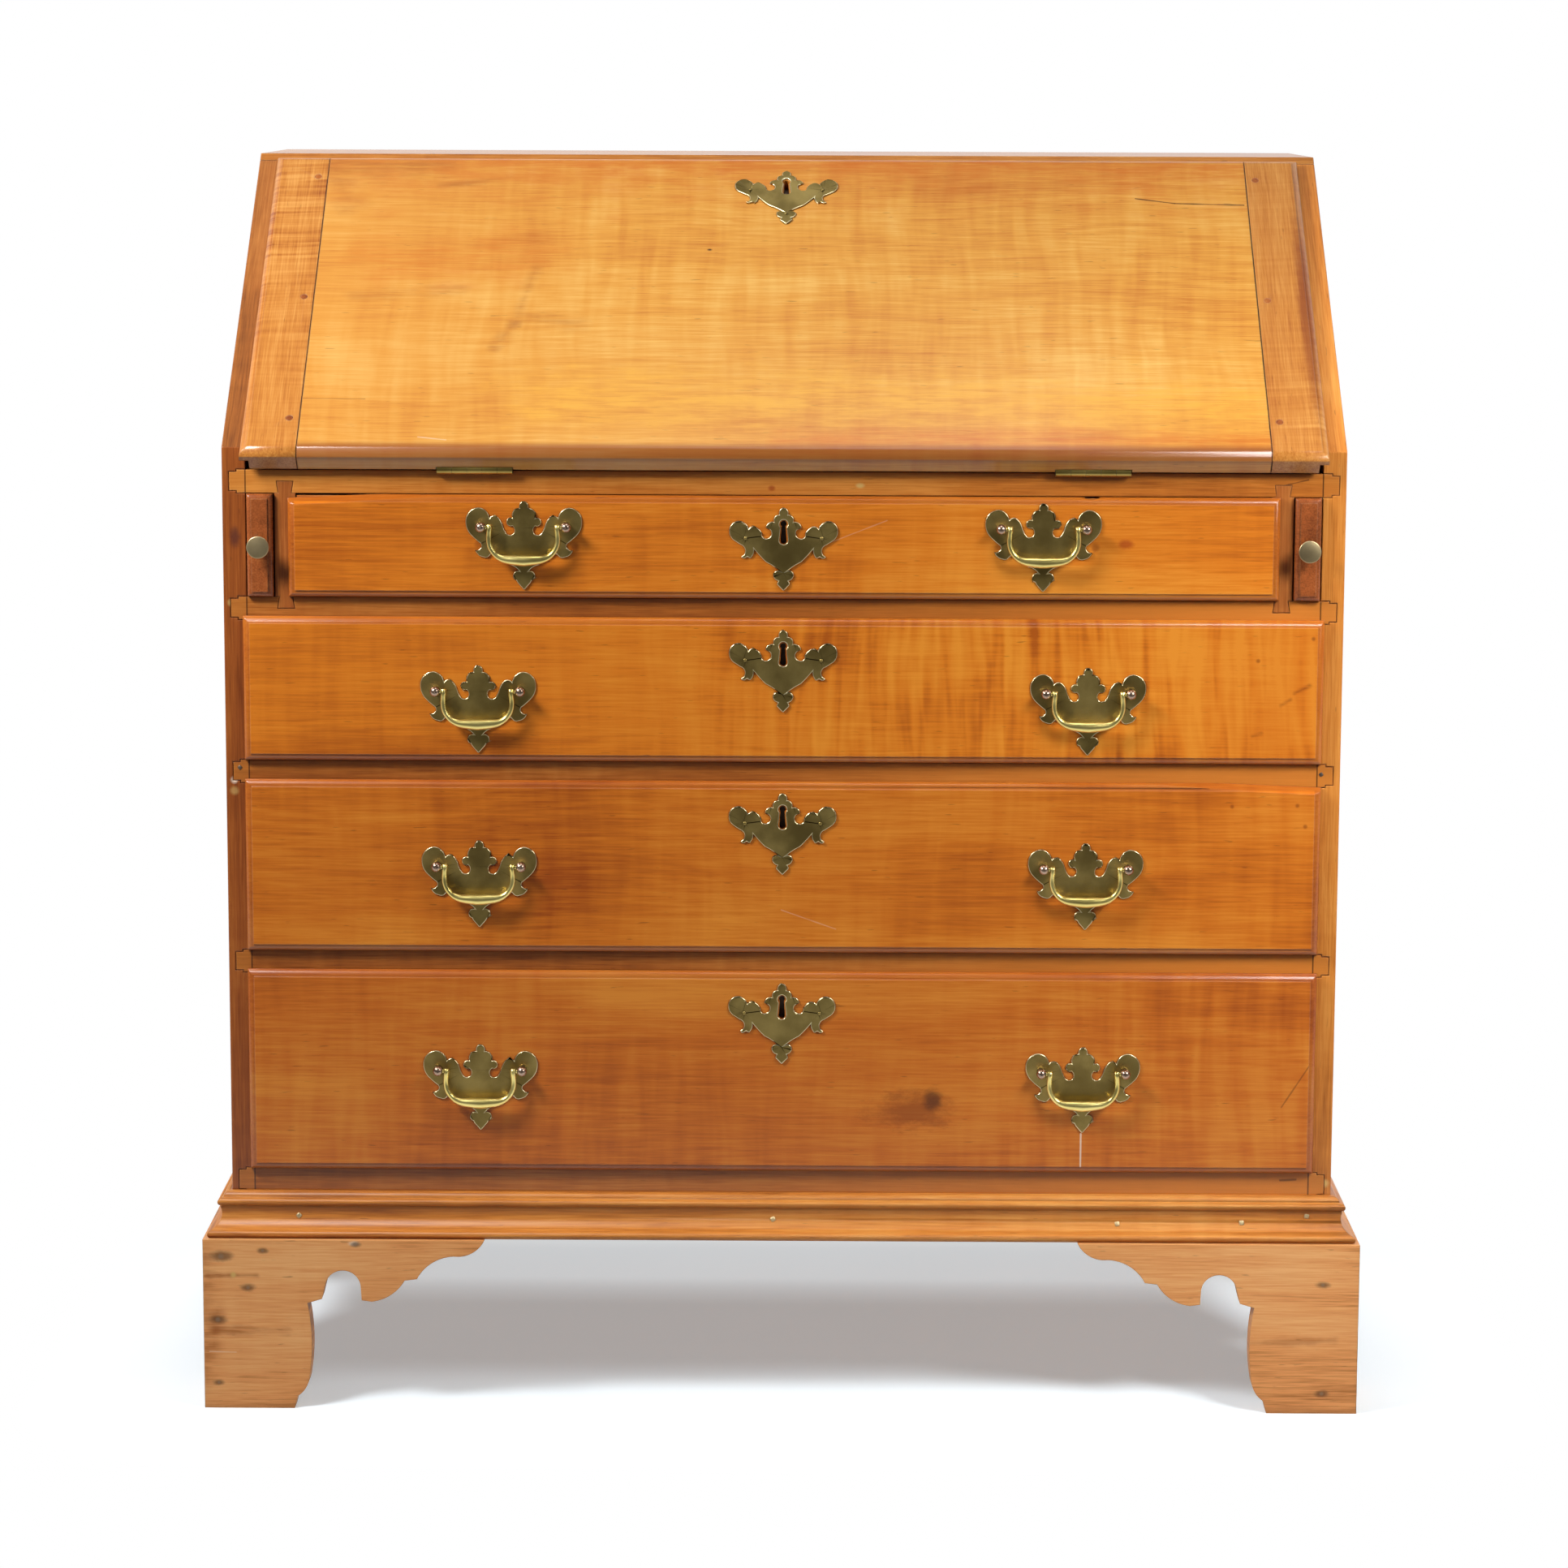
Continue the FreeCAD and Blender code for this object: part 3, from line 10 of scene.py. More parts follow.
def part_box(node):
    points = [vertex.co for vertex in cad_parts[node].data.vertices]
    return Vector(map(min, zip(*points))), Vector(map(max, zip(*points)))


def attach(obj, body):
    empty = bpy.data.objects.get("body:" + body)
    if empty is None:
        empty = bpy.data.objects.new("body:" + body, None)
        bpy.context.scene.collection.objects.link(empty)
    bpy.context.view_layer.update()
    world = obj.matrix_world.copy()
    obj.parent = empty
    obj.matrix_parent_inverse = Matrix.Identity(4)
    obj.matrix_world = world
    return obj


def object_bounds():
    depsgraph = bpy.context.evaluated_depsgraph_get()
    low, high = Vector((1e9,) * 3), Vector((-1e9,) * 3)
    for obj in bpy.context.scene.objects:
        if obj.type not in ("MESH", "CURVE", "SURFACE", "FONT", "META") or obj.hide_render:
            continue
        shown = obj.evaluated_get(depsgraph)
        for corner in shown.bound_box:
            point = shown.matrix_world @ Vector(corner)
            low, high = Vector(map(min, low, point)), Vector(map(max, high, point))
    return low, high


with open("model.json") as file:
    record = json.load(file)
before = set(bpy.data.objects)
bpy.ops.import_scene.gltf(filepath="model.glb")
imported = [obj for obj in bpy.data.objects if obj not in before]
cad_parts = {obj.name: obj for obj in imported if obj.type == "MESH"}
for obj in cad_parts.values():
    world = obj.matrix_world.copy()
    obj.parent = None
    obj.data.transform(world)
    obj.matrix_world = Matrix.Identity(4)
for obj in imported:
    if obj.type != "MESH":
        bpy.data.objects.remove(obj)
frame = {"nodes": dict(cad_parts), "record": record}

# Looks of the slant-front desk. Metres, the same frame as the solids.
cad_low, cad_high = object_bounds()
NODES = frame["nodes"]
DRAWERS = ("top_drawer", "second_drawer", "third_drawer", "bottom_drawer")
SIDES = ("left", "right")
X, Y, Z = 0, 1, 2
SLANT = math.radians(40.0)
LID_OUTSIDE = 0.0202
BATTEN_JOINT = 0.3945
CASE_INSIDE = 0.4382
JOINTS = {joint["name"]: joint for joint in frame["record"]["behaviour"]["joints"]}
HINGE = JOINTS["lid_fall"]["pos_m"]
FRONT_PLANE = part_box("second_drawer_front")[0].y
RAIL_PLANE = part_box("lid_rail")[0].y
FOOT_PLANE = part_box("front_left_foot")[0].y


def on_lid(x, up):
    """Point on the outside of the closed lid, by its distance up the slope from the hinge."""
    y = HINGE[Y] + up * math.cos(SLANT) - LID_OUTSIDE * math.sin(SLANT)
    z = HINGE[Z] + up * math.sin(SLANT) + LID_OUTSIDE * math.cos(SLANT)
    return (x, y, z)


def on_front(x, z):
    return (x, FRONT_PLANE, z)


def on_rail(x, z):
    return (x, RAIL_PLANE, z)


def on_foot(x, z):
    return (x, FOOT_PLANE, z)


# Node trees

class Tree:
    """The nodes of a material or a world, with short ways to add and join them."""

    def __init__(self, owner, output="OutputMaterial"):
        self.owner = owner
        owner.use_nodes = True
        self.nodes = owner.node_tree.nodes
        self.links = owner.node_tree.links
        self.nodes.clear()
        self.output = self.add(output)

    def add(self, kind, inputs=(), **settings):
        node = self.nodes.new("ShaderNode" + kind)
        for key, value in settings.items():
            setattr(node, key, value)
        for key, value in dict(inputs).items():
            self.set(node.inputs[key], value)
        return node

    def set(self, socket, value):
        if isinstance(value, bpy.types.NodeSocket):
            self.links.new(value, socket)
        else:
            socket.default_value = value

    def math(self, operation, a, b=0.0, c=0.0, clamp=False):
        node = self.add("Math", operation=operation, use_clamp=clamp)
        for socket, value in zip(node.inputs, (a, b, c)):
            self.set(socket, value)
        return node.outputs[0]

    def vector(self, operation, a, b=(0.0, 0.0, 0.0), out=0):
        node = self.add("VectorMath", operation=operation)
        self.set(node.inputs[0], a)
        if operation == "SCALE":
            self.set(node.inputs["Scale"], b)
        else:
            self.set(node.inputs[1], b)
        return node.outputs[out]

    def part(self, vector, axis):
        return self.add("SeparateXYZ", {"Vector": vector}).outputs[axis]

    def spread(self, value, low, high, start=0.0, end=1.0):
        """Maps a value from low..high to start..end, gently at both ends."""
        node = self.add("MapRange", interpolation_type="SMOOTHSTEP", clamp=True)
        for key, entry in (("Value", value), ("From Min", low), ("From Max", high),
                           ("To Min", start), ("To Max", end)):
            self.set(node.inputs[key], entry)
        return node.outputs[0]

    def noise(self, place, scale, seed, detail=2.0, roughness=0.5, distortion=0.0):
        """Noise whose scale is given along each axis, in waves per metre."""
        node = self.add("TexNoise", noise_dimensions="4D")
        self.set(node.inputs["Vector"], self.vector("MULTIPLY", place, scale))
        for key, entry in (("W", seed), ("Scale", 1.0), ("Detail", detail),
                           ("Roughness", roughness), ("Distortion", distortion)):
            self.set(node.inputs[key], entry)
        return node.outputs["Fac"]

    def add_share(self, value, noise, amount):
        """Adds a noise, as its distance from the middle, to a value."""
        return self.math("MULTIPLY_ADD", self.math("SUBTRACT", noise, 0.5), amount, value)

    def mix(self, factor, a, b):
        node = self.add("Mix", data_type="RGBA")
        self.set(node.inputs["Factor"], factor)
        self.set(node.inputs["A"], a)
        self.set(node.inputs["B"], b)
        return node.outputs["Result"]

    def ramp(self, factor, stops):
        node = self.add("ValToRGB")
        band = node.color_ramp
        while len(band.elements) < len(stops):
            band.elements.new(0.5)
        for element, (place, shade) in zip(band.elements, stops):
            element.position = place
            element.color = shade
        self.set(node.inputs["Fac"], factor)
        return node.outputs["Color"]

    def finish(self, shader):
        self.links.new(shader.outputs[0], self.output.inputs["Surface"])
        return self.owner


def material_tree(name):
    return Tree(bpy.data.materials.new(name))


def colour(red, green, blue):
    """Linear colour from the red, green and blue of a picture, 0 to 255."""
    def linear(value):
        value /= 255
        return value / 12.92 if value <= 0.04045 else ((value + 0.055) / 1.055) ** 2.4
    return (linear(red), linear(green), linear(blue), 1.0)


# Woods: dark, middle and light of each board

TONES = {
    "lid": (colour(182, 100, 27), colour(214, 149, 58), colour(230, 182, 98)),
    "batten": (colour(152, 80, 27), colour(190, 121, 49), colour(212, 150, 76)),
    "top": (colour(144, 78, 26), colour(182, 114, 46), colour(206, 146, 74)),
    "top_drawer": (colour(172, 84, 15), colour(216, 121, 28), colour(234, 150, 50)),
    "second_drawer": (colour(174, 86, 16), colour(216, 121, 27), colour(230, 144, 43)),
    "third_drawer": (colour(156, 72, 13), colour(202, 110, 25), colour(222, 138, 44)),
    "bottom_drawer": (colour(150, 68, 15), colour(196, 104, 27), colour(216, 134, 46)),
    "rail": (colour(150, 78, 22), colour(196, 116, 40), colour(220, 146, 64)),
    # Painted shade: the blades and the case floor's front edge in a darker tone, for the shadow under the
    # drawer lips.
    "blade": (colour(124, 62, 20), colour(170, 96, 34), colour(200, 126, 54)),
    # Painted shade: the loper partitions in a darker tone, for the shadow of the lopers and the drawer lip on
    # them.
    "partition": (colour(122, 62, 24), colour(166, 92, 38), colour(196, 122, 56)),
    "dark": (colour(116, 54, 18), colour(156, 82, 30), colour(184, 110, 46)),
    "slope": (colour(112, 60, 22), colour(154, 90, 36), colour(182, 116, 54)),
    "warm": (colour(160, 86, 26), colour(204, 125, 48), colour(226, 154, 72)),
    "loper": (colour(108, 54, 22), colour(158, 82, 36), colour(188, 112, 54)),
    "base": (colour(148, 80, 28), colour(202, 126, 51), colour(222, 156, 78)),
    "foot": (colour(156, 94, 46), colour(226, 153, 91), colour(240, 180, 118)),
    "inside": (colour(150, 92, 42), colour(200, 140, 78), colour(224, 172, 108)),
    "pine": (colour(128, 88, 48), colour(186, 142, 92), colour(210, 172, 122)),
}
# Soot in flecks, pits and stains, and the colour of the painted shade in corners.
SOOT_AND_SHADE = colour(62, 28, 12)
RUBBED = colour(232, 182, 122)
WORN_RADIUS = 0.0014
# Reach of the painted shade in corners and recesses, with the dirt that gathers there.
GRIME_AND_SHADE_REACH = 0.012
VARNISH_IOR = 1.5


def stretched(axis, along, across):
    scale = [across, across, across]
    scale[axis] = along
    return tuple(scale)


def wood(name, axis, tone, seed, curl=0.3, curl_from=None, streak=1.0, cloud=1.0,
         gloss=1.0, polish=0.23, wear=0.2, turn=0.0, tight=80.0, marks=()):
    """Varnished board with its grain along one axis, curl across it and rubbed arrises."""
    tree = material_tree(name)
    place = tree.add("TexCoord").outputs["Object"]
    board = place
    if turn:
        board = tree.add("Mapping", {"Vector": place, "Rotation": (turn, 0.0, 0.0)}).outputs[0]

    sway = tree.noise(board, (5.0, 5.0, 5.0), seed + 3.1, 1.0)
    swayed = tree.vector("ADD", board, tree.vector("SCALE", (0.03, 0.03, 0.03), sway))
    fibre = tree.noise(board, stretched(axis, 22.0, 700.0), seed, 3.0, 0.6)
    lines = tree.noise(swayed, stretched(axis, 5.5, 170.0), seed + 8.2, 5.0, 0.65)
    bands = tree.noise(swayed, stretched(axis, 1.6, 26.0), seed + 1.7, 3.0, 0.55, 0.4)
    patch = tree.noise(board, stretched(axis, 3.5, 8.0), seed + 2.3, 3.0, 0.55)
    ripple = tree.noise(swayed, stretched(axis, tight, 11.0), seed + 4.4, 1.5, 0.5, 0.3)
    ripple_place = tree.noise(board, stretched(axis, 2.4, 4.0), seed + 5.9, 2.0)
    ripple_share = tree.spread(ripple_place, 0.36, 0.62, 0.15, 1.0)
    if curl_from is not None:
        ripple_share = tree.spread(tree.part(place, axis), curl_from - 0.2, curl_from + 0.1, 0.15, 1.0)
    ripple = tree.math("MULTIPLY", tree.math("SUBTRACT", ripple, 0.5), ripple_share)

    shade = tree.add_share(0.5, fibre, 1.0 * streak)
    shade = tree.add_share(shade, lines, 0.7 * streak)
    shade = tree.add_share(shade, bands, 0.7 * streak)
    shade = tree.add_share(shade, patch, 1.1 * cloud)
    shade = tree.math("MULTIPLY_ADD", ripple, 1.7 * curl, shade)
    dark, middle, light = TONES[tone]
    tint = tree.ramp(shade, ((0.1, dark), (0.5, middle), (0.9, light)))

    flecks = tree.noise(board, stretched(axis, 75.0, 640.0), seed + 6.3, 1.0, 0.4)
    flecks = tree.spread(flecks, 0.7, 0.8, 0.0, 0.4)
    pits = tree.noise(board, stretched(axis, 120.0, 300.0), seed + 7.7, 1.0, 0.6)
    pits = tree.spread(pits, 0.82, 0.88, 0.0, 0.7)
    tint = tree.mix(flecks, tint, SOOT_AND_SHADE)
    tint = tree.mix(pits, tint, SOOT_AND_SHADE)

    # Painted shade: darker in corners and recesses, under the lips and between parts, with the dirt that
    # gathers there.
    hollows = tree.add("AmbientOcclusion", {"Distance": GRIME_AND_SHADE_REACH}, samples=6).outputs["AO"]
    tint = tree.mix(tree.spread(hollows, 0.2, 0.85, 0.5, 0.0), tint, SOOT_AND_SHADE)
    for mark in marks:
        tint = mark(tree, place, tint)

    rounded = tree.add("Bevel", {"Radius": WORN_RADIUS}, samples=4).outputs[0]
    facing = tree.vector("DOT_PRODUCT", rounded, tree.add("NewGeometry").outputs["Normal"], out=1)
    rubbed = tree.math("MULTIPLY", tree.spread(facing, 0.75, 0.98, wear, 0.0),
                       tree.spread(lines, 0.35, 0.6, 0.35, 1.0))
    tint = tree.mix(rubbed, tint, RUBBED)

    rough = tree.math("MULTIPLY_ADD", patch, 0.16, 0.32)
    rough = tree.math("MULTIPLY_ADD", fibre, 0.1, rough)
    rise = tree.math("MULTIPLY_ADD", ripple, 0.5 * curl, tree.math("MULTIPLY", fibre, 0.3))
    rise = tree.math("SUBTRACT", rise, pits)
    bump = tree.add("Bump", {
        "Strength": 0.12, "Distance": 0.0005, "Height": rise, "Normal": rounded,
    }).outputs[0]
    return tree.finish(tree.add("BsdfPrincipled", {
        "Base Color": tint, "Roughness": rough, "Normal": bump,
        "IOR": VARNISH_IOR, "Specular IOR Level": 0.08,
        "Coat Weight": gloss, "Coat Roughness": polish, "Coat IOR": VARNISH_IOR, "Coat Normal": rounded,
    }))


# Marks of age, drawn into the wood where the desk has them, and bands of painted shade and painted light
# drawn the same way

CRACK = colour(48, 22, 10)
SCORCH = colour(138, 64, 14)
ORANGE = colour(196, 100, 24)
# Colour of the painted shade on lips and mouldings.
LIP_SHADE = colour(132, 62, 26)
RED = colour(150, 40, 14)
PALE = colour(236, 214, 190)
PUTTY = colour(214, 176, 104)
RUST = colour(74, 50, 36)
STAIN = colour(70, 34, 34)
NAIL = colour(138, 116, 92)


def segment_distance(tree, place, first, last):
    """Distance from each point to a straight line between two points."""
    first = Vector(first)
    line = Vector(last) - first
    offset = tree.vector("SUBTRACT", place, tuple(first))
    share = tree.math("MULTIPLY", tree.vector("DOT_PRODUCT", offset, tuple(line), out=1),
                      1.0 / line.length_squared, clamp=True)
    nearest = tree.vector("SCALE", tuple(line), share)
    return tree.vector("DISTANCE", offset, nearest, out=1)


def line_mark(first, last, width, shade, strength=0.9, wander=0.002, seed=0.0):
    """Crack or scratch between two points; along the lid's lower edge, a band of painted shade."""
    def draw(tree, place, tint):
        drift = tree.noise(place, (60.0, 60.0, 60.0), seed, 3.0)
        away = tree.add_share(segment_distance(tree, place, first, last), drift, wander)
        cover = tree.spread(tree.math("ABSOLUTE", away), 0.35 * width, width, strength, 0.0)
        return tree.mix(cover, tint, shade)
    return draw


def figure_mark(first, last, width, strength, seed, shade=SCORCH):
    """Streak of another shade along a line, soft at its edges and broken by the fine grain across it: dark
    figure, and on the lid also painted shade and painted light.
    """
    def draw(tree, place, tint):
        drift = tree.noise(place, (30.0, 45.0, 45.0), seed, 3.0, 0.6)
        grain = tree.noise(place, (25.0, 260.0, 260.0), seed + 0.5, 3.0, 0.6)
        away = tree.add_share(segment_distance(tree, place, first, last), drift, 2.0 * width)
        cover = tree.spread(away, -0.2 * width, width, strength, 0.0)
        cover = tree.math("MULTIPLY", cover, tree.spread(grain, 0.35, 0.6, 0.25, 1.0))
        return tree.mix(cover, tint, shade)
    return draw


def patch_mark(centre, size, shade, strength=0.7, seed=0.0, ragged=0.5):
    """Stain, plug or knot, and on the lid's batten a band of painted shade: a soft-edged spot with its own
    size along each axis.
    """
    def draw(tree, place, tint):
        offset = tree.vector("SUBTRACT", place, centre)
        offset = tree.vector("MULTIPLY", offset, tuple(1.0 / entry for entry in size))
        away = tree.vector("LENGTH", offset, out=1)
        rough = tree.noise(place, (55.0, 90.0, 110.0), seed, 4.0, 0.7)
        away = tree.add_share(away, rough, 2.0 * ragged)
        return tree.mix(tree.spread(away, 0.25, 1.0, strength, 0.0), tint, shade)
    return draw


def spot_mark(centre, radius, shade, strength=0.8):
    return patch_mark(centre, (radius, radius, radius), shade, strength, 1.0, 0.25)


def joint_mark(across, width=0.0008, strength=0.8):
    """Dark glue lines of the joints at the same distance left and right of the middle."""
    def draw(tree, place, tint):
        away = tree.math("SUBTRACT", tree.math("ABSOLUTE", tree.part(place, X)), across)
        cover = tree.spread(tree.math("ABSOLUTE", away), 0.4 * width, width, strength, 0.0)
        return tree.mix(cover, tint, CRACK)
    return draw


def end_mark(across, shade, strength):
    """A board's ends, past a distance from the middle, in another shade."""
    def draw(tree, place, tint):
        reach = tree.math("ABSOLUTE", tree.part(place, X))
        return tree.mix(tree.spread(reach, across, across + 0.0004, 0.0, strength), tint, shade)
    return draw


def across_mark(first, last, shade, strength):
    """A slow change to another shade from left to right."""
    def draw(tree, place, tint):
        return tree.mix(tree.spread(tree.part(place, X), first, last, 0.0, strength), tint, shade)
    return draw


def lip_mark(node, width, shade, strength):
    """Painted shade: the moulding around a drawer front drawn browner and darker than its face, as where it
    turns away from the light.
    """
    low, high = (Vector(corner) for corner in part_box(node))
    middle = tuple((low + high) / 2.0)
    half = tuple((high - low) / 2.0)

    def draw(tree, place, tint):
        offset = tree.vector("ABSOLUTE", tree.vector("SUBTRACT", place, middle))
        margin = tree.vector("SUBTRACT", half, offset)
        nearest = tree.math("MINIMUM", tree.part(margin, X), tree.part(margin, Z))
        return tree.mix(tree.spread(nearest, 0.8 * width, width, strength, 0.0), tint, shade)
    return draw


# Metals

def brass(name, shades, seed, rough=0.3, tarnish=0.5):
    """Old cast brass: clear where hands rub it, brown and dull elsewhere."""
    tree = material_tree(name)
    place = tree.add("TexCoord").outputs["Object"]
    dull, clean = shades
    stain = tree.noise(place, (34.0, 34.0, 34.0), seed, 3.0, 0.5)
    grain = tree.noise(place, (700.0, 700.0, 700.0), seed + 2.0, 2.0)
    stain = tree.add_share(stain, grain, 0.08)
    tint = tree.mix(tree.spread(stain, 0.32, 0.7, 1.0 - tarnish, 1.0), dull, clean)
    hollows = tree.add("AmbientOcclusion", {"Distance": 0.004}, samples=6).outputs["AO"]
    tint = tree.mix(tree.spread(hollows, 0.25, 0.8, 0.5, 0.0), tint, colour(52, 38, 18))
    rough_value = tree.math("MULTIPLY_ADD", stain, 0.24, rough - 0.12)
    bump = tree.add("Bump", {"Strength": 0.06, "Distance": 0.0003, "Height": stain}).outputs[0]
    return tree.finish(tree.add("BsdfPrincipled", {
        "Base Color": tint, "Roughness": rough_value, "Normal": bump, "Metallic": 1.0,
    }))


def iron(name, seed, shades=(colour(84, 72, 62), colour(116, 100, 86), colour(134, 92, 62))):
    tree = material_tree(name)
    place = tree.add("TexCoord").outputs["Object"]
    rust = tree.noise(place, (160.0, 160.0, 160.0), seed, 5.0, 0.65)
    tint = tree.ramp(rust, tuple(zip((0.3, 0.55, 0.8), shades)))
    rough = tree.math("MULTIPLY_ADD", rust, 0.4, 0.3)
    bump = tree.add("Bump", {"Strength": 0.25, "Distance": 0.0005, "Height": rust}).outputs[0]
    return tree.finish(tree.add("BsdfPrincipled", {
        "Base Color": tint, "Roughness": rough, "Normal": bump, "Metallic": 0.85,
    }))


# Boards: which solid of a node a face belongs to

def solids(mesh):
    """Lists of faces, one list for each separate solid in a mesh."""
    spots = {}
    home = []
    for vertex in mesh.vertices:
        key = tuple(round(value, 6) for value in vertex.co)
        home.append(spots.setdefault(key, len(spots)))
    parent = list(range(len(spots)))

    def root(index):
        while parent[index] != index:
            parent[index] = parent[parent[index]]
            index = parent[index]
        return index

    for face in mesh.polygons:
        first = root(home[face.vertices[0]])
        for corner in face.vertices[1:]:
            parent[root(home[corner])] = first
    groups = {}
    for face in mesh.polygons:
        groups.setdefault(root(home[face.vertices[0]]), []).append(face)
    return list(groups.values())


def solid_box(mesh, faces):
    points = [mesh.vertices[corner].co for face in faces for corner in face.vertices]
    low = Vector([min(point[axis] for point in points) for axis in range(3)])
    high = Vector([max(point[axis] for point in points) for axis in range(3)])
    return low, high


def dress(node, choose):
    """Gives each solid of a node the material that choose(low, high) returns."""
    mesh = NODES[node].data
    mesh.materials.clear()
    places = {}
    for faces in solids(mesh):
        material = choose(*solid_box(mesh, faces))
        if material.name not in places:
            places[material.name] = len(mesh.materials)
            mesh.materials.append(material)
        for face in faces:
            face.material_index = places[material.name]


def dress_around(node, woods):
    """Boards that meet at corners: the grain runs back on the sides, and across elsewhere."""
    mesh = NODES[node].data
    mesh.materials.clear()
    mesh.materials.append(woods[X])
    mesh.materials.append(woods[Y])
    for face in mesh.polygons:
        face.material_index = 1 if abs(face.normal.x) > abs(face.normal.y) + 0.05 else 0


def dress_slope(node, board, slope):
    """A case side: the grain of its slanted front runs along the slope."""
    mesh = NODES[node].data
    mesh.materials.clear()
    mesh.materials.append(board)
    mesh.materials.append(slope)
    towards = Vector((0.0, -math.sin(SLANT), math.cos(SLANT)))
    for face in mesh.polygons:
        face.material_index = 1 if face.normal.dot(towards) > 0.97 else 0


def longest(low, high):
    size = high - low
    return max(range(3), key=lambda axis: size[axis])


def one(material):
    return lambda low, high: material


def by_grain(materials):
    return lambda low, high: materials[longest(low, high)]


def family(name, tone, seed, **settings):
    """The same wood with its grain along X, Y or Z."""
    return [wood(name + "_" + "xyz"[axis], axis, tone, seed + axis, **settings) for axis in range(3)]


# Lid

LID_MARKS_AND_SHADING = (
    joint_mark(BATTEN_JOINT),
    line_mark(on_lid(0.2988, 0.3084), on_lid(0.3322, 0.3024), 0.0009, CRACK, 0.9, 0.0015, 1.0),
    line_mark(on_lid(0.3322, 0.3024), on_lid(0.391, 0.3006), 0.0009, CRACK, 0.9, 0.0015, 2.0),
    line_mark(on_lid(-0.394, 0.0605), on_lid(-0.343, 0.06), 0.0006, CRACK, 0.6, 0.0006, 3.0),
    line_mark(on_lid(-0.297, 0.0165), on_lid(-0.2742, 0.0132), 0.0007, PALE, 0.5, 0.0015, 7.0),
    figure_mark(on_lid(-0.298, 0.3215), on_lid(-0.237, 0.332), 0.006, 0.6, 4.0),
    figure_mark(on_lid(-0.2108, 0.2165), on_lid(-0.2255, 0.1493), 0.01, 0.4, 5.0),
    figure_mark(on_lid(-0.2255, 0.1493), on_lid(-0.2405, 0.121), 0.01, 0.5, 6.0),
    figure_mark(on_lid(-0.39, 0.346), on_lid(-0.375, 0.3), 0.02, 0.55, 8.0),
    figure_mark(on_lid(-0.36, 0.183), on_lid(-0.27, 0.192), 0.012, 0.35, 9.0),
    figure_mark(on_lid(-0.21, 0.157), on_lid(-0.17, 0.15), 0.014, 0.35, 10.0),
    figure_mark(on_lid(-0.4, 0.36), on_lid(0.4, 0.36), 0.1, 0.5, 12.0, ORANGE),
    figure_mark(on_lid(-0.4, 0.36), on_lid(0.4, 0.36), 0.045, 0.7, 13.0, ORANGE),
    figure_mark(on_lid(-0.395, 0.35), on_lid(-0.3, 0.352), 0.03, 0.6, 14.0),
    across_mark(-0.05, -0.38, colour(192, 126, 56), 0.4),
    # Partly the wood's tone, partly painted light: a lighter, yellower band low on the lid, where the lamp
    # above falls brightest.
    figure_mark(on_lid(-0.2, 0.06), on_lid(0.36, 0.06), 0.055, 0.85, 18.0, colour(226, 166, 62)),
    # Painted shade: darker orange along the lid's lower moulding, which faces down from the light.
    figure_mark(on_lid(0.0, 0.016), on_lid(0.4, 0.016), 0.018, 0.6, 15.0, ORANGE),
    figure_mark(on_lid(-0.34, 0.225), on_lid(-0.22, 0.235), 0.05, 0.4, 16.0, ORANGE),
    # Painted shade: a brown band along the lid's lower edge, where the moulding turns down from the light.
    line_mark(on_lid(-0.44, 0.001), on_lid(0.44, 0.001), 0.012, LIP_SHADE, 0.75, 0.001, 17.0),
    patch_mark(on_lid(-0.0644, 0.2417), (0.003, 0.0018, 0.0018), CRACK, 0.9, 11.0, 0.2),
)

lid_wood = wood("maple_lid_panel", X, "lid", 11.0, curl=0.35, streak=0.75, cloud=0.75, marks=LID_MARKS_AND_SHADING)
BATTEN_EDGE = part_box("lid_right_batten")[1].x - 0.006
batten_marks_and_shade = (
    joint_mark(BATTEN_JOINT),
    # Painted shade: a dark band down the right batten's moulded outer edge, where the moulding turns from the
    # light.
    patch_mark(on_lid(BATTEN_EDGE, 0.17), (0.009, 0.18, 0.18), LIP_SHADE, 0.75, 19.0, 0.3),
)
batten_wood = wood("maple_lid_batten", Y, "batten", 23.0, curl=1.0, cloud=0.6, turn=-SLANT, tight=240.0,
                   marks=batten_marks_and_shade)
peg_wood = wood("maple_peg", Z, "dark", 151.0, curl=0.0)
dress("lid_panel", one(lid_wood))
dress("lid_left_batten", one(batten_wood))
dress("lid_right_batten", one(batten_wood))
dress("lid_pegs", one(peg_wood))

# Case

RAIL_MARKS = (
    # The ends, where the sides' dovetails show, in the rail's lighter tone; on the blades this also takes the
    # painted shade off past the drawers, where no lip shades them.
    end_mark(CASE_INSIDE, colour(196, 120, 48), 0.4),
    joint_mark(CASE_INSIDE),
    patch_mark(on_rail(0.0619, 0.772), (0.005, 0.003, 0.003), PUTTY, 0.9, 21.0),
    patch_mark(on_rail(-0.0099, 0.7696), (0.004, 0.003, 0.003), RED, 0.6, 22.0),
    line_mark(on_rail(0.4059, 0.7734), on_rail(0.426, 0.7782), 0.0008, CRACK, 0.6, 0.001, 24.0),
    line_mark(on_rail(0.4149, 0.1936), on_rail(0.4278, 0.1943), 0.0012, CRACK, 0.6, 0.001, 25.0),
)
LEFT_SIDE_MARKS = (
    spot_mark(on_rail(-0.4506, 0.5271), 0.004, PALE, 0.8),
    spot_mark(on_rail(-0.4506, 0.5182), 0.005, PUTTY, 0.5),
    spot_mark(on_rail(-0.451, 0.6739), 0.004, PUTTY, 0.7),
    patch_mark(on_rail(-0.4475, 0.728), (0.006, 0.006, 0.012), STAIN, 0.7, 23.0),
)
RIGHT_SIDE_MARKS = (spot_mark(on_rail(0.4519, 0.1911), 0.005, PUTTY, 0.8),)
